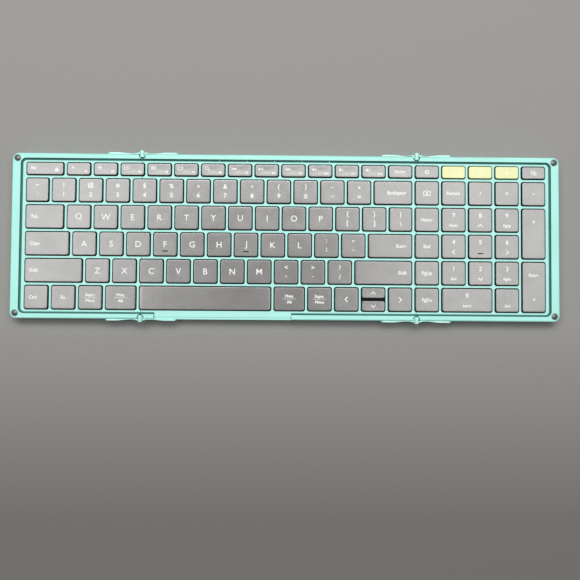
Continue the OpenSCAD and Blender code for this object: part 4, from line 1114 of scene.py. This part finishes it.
def ribbon(side, s):
    """Ribbon cable over a fold: a flat strip carried along its path in the X-Z plane.

    The path runs level from the board's socket over the fold, turns up by a quarter circle, and
    ends in the dome sheet; the strip's wall stands square to the path.
    s is -1 for the left fold and 1 for the right one.
    """
    node = side + "_flex_cable"
    low, high = (np.array(p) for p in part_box(node))
    fold = FOLDS[0] if s < 0 else FOLDS[1]
    start, end = (high[0], low[0]) if s < 0 else (low[0], high[0])
    end -= s * RIBBON_WALL / 2
    z = low[2] + RIBBON_WALL / 2
    turn = np.linspace(0, math.pi / 2, RIBBON_TURN_STEPS + 1)
    over = fold + s * np.linspace(-RIBBON_FINE, RIBBON_FINE, RIBBON_CUTS)
    level = np.array([start, *over])
    path = np.vstack([np.column_stack([level, np.full(len(level), z)]),
                      np.column_stack([end - s * RIBBON_BEND * (1 - np.sin(turn)),
                                       z + RIBBON_BEND * (1 - np.cos(turn))]),
                      [[end, high[2]]]])
    ahead = np.gradient(path, axis=0)
    ahead /= np.linalg.norm(ahead, axis=1)[:, None]
    aside = np.column_stack([-ahead[:, 1], ahead[:, 0]]) * RIBBON_WALL / 2
    section = [(aside, low[1]), (-aside, low[1]), (-aside, high[1]), (aside, high[1])]
    rings = np.stack([np.column_stack([(path + d)[:, 0], np.full(len(path), y), (path + d)[:, 1]])
                      for d, y in section], 1)
    last = 4 * (len(path) - 1)
    faces = [*band_faces(len(path), 4).tolist(), [3, 2, 1, 0], [last, last + 1, last + 2, last + 3]]
    if s < 0:
        faces = [face[::-1] for face in faces]
    mesh = mesh_from(node + "_strip", [(rings.reshape(-1, 3), faces)], 35)
    piece = finish_piece(mesh, node + "_strip", "middle_panel",
                         material("flex_copper"), node)
    piece.parent = None
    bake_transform(piece)


def finish_nodes(*words):
    """Gives the construction pieces whose names hold one of the words the finish of their slot."""
    slots = {s["node"]: s["material_slot"] for s in frame["record"]["subparts"]}
    found = [name for name in frame["nodes"] if any(word in name for word in words)]
    if not found:
        raise RuntimeError(f"no construction piece is named after {words}")
    for name in found:
        finish = material("bumper_rubber" if "bumper" in name else slots[name])
        node = frame["nodes"][name]
        if not node.material_slots:
            node.data.materials.append(finish)
        for place in node.material_slots:
            place.material = finish


# Stage

# Soft lamps overhead, round the camera: name, place, size and share of the full brightness
SOFT_LAMPS = [
    ("left_soft_light", (-0.66, 0.50), (0.60, 1.30), 1.3),
    ("right_soft_light", (0.54, 0.50), (0.66, 1.30), 1.15),
    ("rear_soft_light", (-0.07, 0.76), (0.54, 0.86), 0.8),
]
# Window behind the object: place and size
WINDOW_PLACE = (-0.1, 1.0, 2.2)
WINDOW_SIZE = (1.0, 0.6)
# Camera: width of its sensor in millimetres, and the nearest distance that it sees
SENSOR_WIDTH = 36
NEAREST_SEEN = 0.01
# Floor: half its width, and from where to where along Y its darker near colour, a painted shadow,
# turns into the far one
FLOOR_HALF = 6.0
FLOOR_TURN = (-0.20, -0.06)


def add_camera(stage):
    """The camera at the photograph's viewing angle."""
    data = bpy.data.cameras.new("camera")
    data.lens = stage.focal_length
    data.sensor_width = SENSOR_WIDTH
    data.clip_start = NEAREST_SEEN
    camera = bpy.data.objects.new("camera", data)
    camera.location = stage.camera_place
    camera.rotation_euler = stage.camera_turn
    bpy.context.scene.collection.objects.link(camera)
    bpy.context.scene.camera = camera


def floor_finish(near, far):
    """Matt floor: near colour in front as painted shadow, far colour behind, times a fine grain."""
    made = Shade("floor_finish", near, 0.9)
    split = made.node("ShaderNodeSeparateXYZ")
    made.link(made.place, split.inputs["Vector"])
    # Painted shadow: the floor darkens from the far colour to the near one towards the front
    slope = made.mix(made.remap(split.outputs["Y"], 0, 1, *FLOOR_TURN), near, far)
    tones = made.mix(made.remap(made.noise(900, 3), 0, 1), (0.95, 0.95, 0.95, 1),
                     (1.05, 1.05, 1.05, 1))
    grain = made.node("ShaderNodeMix", data_type="RGBA", blend_type="MULTIPLY")
    grain.inputs["Factor"].default_value = 1.0
    for source, socket in zip((slope, tones), colour_sockets(grain.inputs)):
        made.link(source, socket)
    made.colour(colour_sockets(grain.outputs)[0])
    made.shader.inputs["Specular IOR Level"].default_value = 0.1
    return made.material


def add_floor(stage):
    """A plain floor at height zero, with a painted shadow in front."""
    mesh = bpy.data.meshes.new("floor")
    mesh.from_pydata([(x, y, 0) for x, y in rectangle(FLOOR_HALF, FLOOR_HALF)], [], [(0, 1, 2, 3)])
    mesh.materials.append(floor_finish(tuple(stage.near_floor_shadow), tuple(stage.far_floor)))
    floor = bpy.data.objects.new("floor", mesh)
    bpy.context.scene.collection.objects.link(floor)


def add_room(stage):
    """Even light of the room, in whose place the camera, gloss and glass see the backdrop."""
    world = bpy.data.worlds.new("room")
    world.use_nodes = True
    tree = world.node_tree
    lit = tree.nodes["Background"]
    lit.inputs["Color"].default_value = (1, 1, 1, 1)
    lit.inputs["Strength"].default_value = stage.room
    backdrop = tree.nodes.new("ShaderNodeBackground")
    backdrop.inputs["Color"].default_value = tuple(stage.backdrop)
    ray = tree.nodes.new("ShaderNodeLightPath")
    seen = ray.outputs["Is Camera Ray"]
    for kind in ("Is Glossy Ray", "Is Transmission Ray"):
        either = tree.nodes.new("ShaderNodeMath")
        either.operation = "MAXIMUM"
        tree.links.new(seen, either.inputs[0])
        tree.links.new(ray.outputs[kind], either.inputs[1])
        seen = either.outputs[0]
    choice = tree.nodes.new("ShaderNodeMixShader")
    for source, socket in zip((seen, lit.outputs[0], backdrop.outputs[0]), choice.inputs):
        tree.links.new(source, socket)
    tree.links.new(choice.outputs[0], tree.nodes["World Output"].inputs["Surface"])
    bpy.context.scene.world = world


def add_lamp(name, place, size, brightness):
    """A rectangular lamp that shines straight down.

    A lamp of this brightness looks as bright as so many sheets of white paper in full light: its
    power is pi times its area times the brightness.
    """
    light = bpy.data.lights.new(name, "AREA")
    light.shape = "RECTANGLE"
    light.size, light.size_y = size
    light.energy = math.pi * size[0] * size[1] * brightness
    lamp = bpy.data.objects.new(name, light)
    lamp.location = place
    bpy.context.scene.collection.objects.link(lamp)
    return lamp


# Operators

class FOLDKEY_OT_keycaps(bpy.types.Operator):
    """Builds every keycap as a hollow shell with a dished top"""
    bl_idname = "foldkey.keycaps"
    bl_label = "Keycaps"

    def execute(self, context):
        for node in KEY_NODES:
            build_keycaps(node)
        return {"FINISHED"}


class FOLDKEY_OT_legends(bpy.types.Operator):
    """Prints plain generic legends on the keycaps"""
    bl_idname = "foldkey.legends"
    bl_label = "Legends"

    def execute(self, context):
        for node in KEY_NODES:
            build_legends(node)
        return {"FINISHED"}


class FOLDKEY_OT_rims(bpy.types.Operator):
    """Builds the rims of the three panels, with their stepped inner edge"""
    bl_idname = "foldkey.rims"
    bl_label = "Rims"

    def execute(self, context):
        for panel in PANELS:
            moulding(panel + "_rim_frame", "mint_shell")
        return {"FINISHED"}


class FOLDKEY_OT_decks(bpy.types.Operator):
    """Builds the key decks, whose webs show between the keycaps"""
    bl_idname = "foldkey.decks"
    bl_label = "Key decks"

    def execute(self, context):
        for panel in PANELS:
            moulding(panel + "_key_deck", "mint_deck", shade_grooves=False)
        return {"FINISHED"}


class FOLDKEY_OT_covers(bpy.types.Operator):
    """Builds the bottom covers"""
    bl_idname = "foldkey.covers"
    bl_label = "Bottom covers"

    def execute(self, context):
        for panel in PANELS:
            moulding(panel + "_bottom_cover", "mint_shell", shade_grooves=False)
        return {"FINISHED"}


class FOLDKEY_OT_hinges(bpy.types.Operator):
    """Paints the hinge leaves and finishes their pins"""
    bl_idname = "foldkey.hinges"
    bl_label = "Hinges"

    def execute(self, context):
        finish_nodes("hinge_leaves", "hinge_pins")
        return {"FINISHED"}


class FOLDKEY_OT_rubbers(bpy.types.Operator):
    """Finishes the corner bumpers and the feet"""
    bl_idname = "foldkey.rubbers"
    bl_label = "Bumpers and feet"

    def execute(self, context):
        finish_nodes("corner_bumpers", "feet")
        return {"FINISHED"}


class FOLDKEY_OT_fixings(bpy.types.Operator):
    """Finishes the screws and the magnets"""
    bl_idname = "foldkey.fixings"
    bl_label = "Screws and magnets"

    def execute(self, context):
        finish_nodes("screws", "magnets")
        return {"FINISHED"}


class FOLDKEY_OT_mechanism(bpy.types.Operator):
    """Finishes the plates, the dome sheets and the links under the keys"""
    bl_idname = "foldkey.mechanism"
    bl_label = "Key mechanism"

    def execute(self, context):
        finish_nodes("support_plate", "dome_sheet", "scissor_links")
        return {"FINISHED"}


class FOLDKEY_OT_electronics(bpy.types.Operator):
    """Finishes the board, the battery and the charging socket"""
    bl_idname = "foldkey.electronics"
    bl_label = "Electronics"

    def execute(self, context):
        finish_nodes("main_board", "battery", "usb_c_port")
        return {"FINISHED"}


class FOLDKEY_OT_ribbons(bpy.types.Operator):
    """Builds the two ribbon cables, which bend over the folds"""
    bl_idname = "foldkey.ribbons"
    bl_label = "Ribbon cables"

    def execute(self, context):
        ribbon("left", -1)
        ribbon("right", 1)
        return {"FINISHED"}


class FOLDKEY_OT_stage(bpy.types.Operator):
    """Sets the camera, the floor and the soft lamps"""
    bl_idname = "foldkey.stage"
    bl_label = "Stage"

    def execute(self, context):
        stage = settings().stage
        add_camera(stage)
        add_floor(stage)
        add_room(stage)
        for name, place, size, share in SOFT_LAMPS:
            add_lamp(name, (*place, stage.lamp_height), size, stage.lamp * share)
        window = add_lamp("window_light", WINDOW_PLACE, WINDOW_SIZE, stage.window)
        window.rotation_euler.x = -math.atan2(WINDOW_PLACE[1], WINDOW_PLACE[2])
        context.scene.view_settings.view_transform = "Standard"
        return {"FINISHED"}


class FOLDKEY_PT_panel(bpy.types.Panel):
    """Lists the building steps in the 3D view's sidebar"""
    bl_label = "Folding Keyboard"
    bl_idname = "FOLDKEY_PT_panel"
    bl_space_type = "VIEW_3D"
    bl_region_type = "UI"
    bl_category = "Keyboard"

    def draw(self, context):
        for operator in OPERATORS:
            self.layout.operator(operator.bl_idname)


class FoldingKeyboardSettings(bpy.types.PropertyGroup):
    """All settings of the folding keyboard."""
    keycaps: PointerProperty(type=KeycapSettings)
    legends: PointerProperty(type=LegendSettings)
    case: PointerProperty(type=CaseSettings)
    stage: PointerProperty(type=StageSettings)


OPERATORS = [
    FOLDKEY_OT_stage, FOLDKEY_OT_keycaps, FOLDKEY_OT_legends, FOLDKEY_OT_rims, FOLDKEY_OT_decks,
    FOLDKEY_OT_covers, FOLDKEY_OT_hinges, FOLDKEY_OT_rubbers, FOLDKEY_OT_fixings,
    FOLDKEY_OT_mechanism, FOLDKEY_OT_electronics, FOLDKEY_OT_ribbons,
]
CLASSES = [KeycapSettings, LegendSettings, CaseSettings, StageSettings, FoldingKeyboardSettings,
           *OPERATORS, FOLDKEY_PT_panel]


def register():
    """Registers the classes and gives the scene its settings."""
    for cls in CLASSES:
        bpy.utils.register_class(cls)
    bpy.types.Scene.folding_keyboard = PointerProperty(type=FoldingKeyboardSettings)


def unregister():
    """Takes back what register did."""
    del bpy.types.Scene.folding_keyboard
    for cls in reversed(CLASSES):
        bpy.utils.unregister_class(cls)


def main():
    """Builds everything."""
    register()
    bpy.ops.foldkey.stage()
    bpy.ops.foldkey.keycaps()
    bpy.ops.foldkey.legends()
    bpy.ops.foldkey.rims()
    bpy.ops.foldkey.decks()
    bpy.ops.foldkey.covers()
    bpy.ops.foldkey.hinges()
    bpy.ops.foldkey.rubbers()
    bpy.ops.foldkey.fixings()
    bpy.ops.foldkey.mechanism()
    bpy.ops.foldkey.electronics()
    bpy.ops.foldkey.ribbons()


if __name__ == "__main__":
    main()
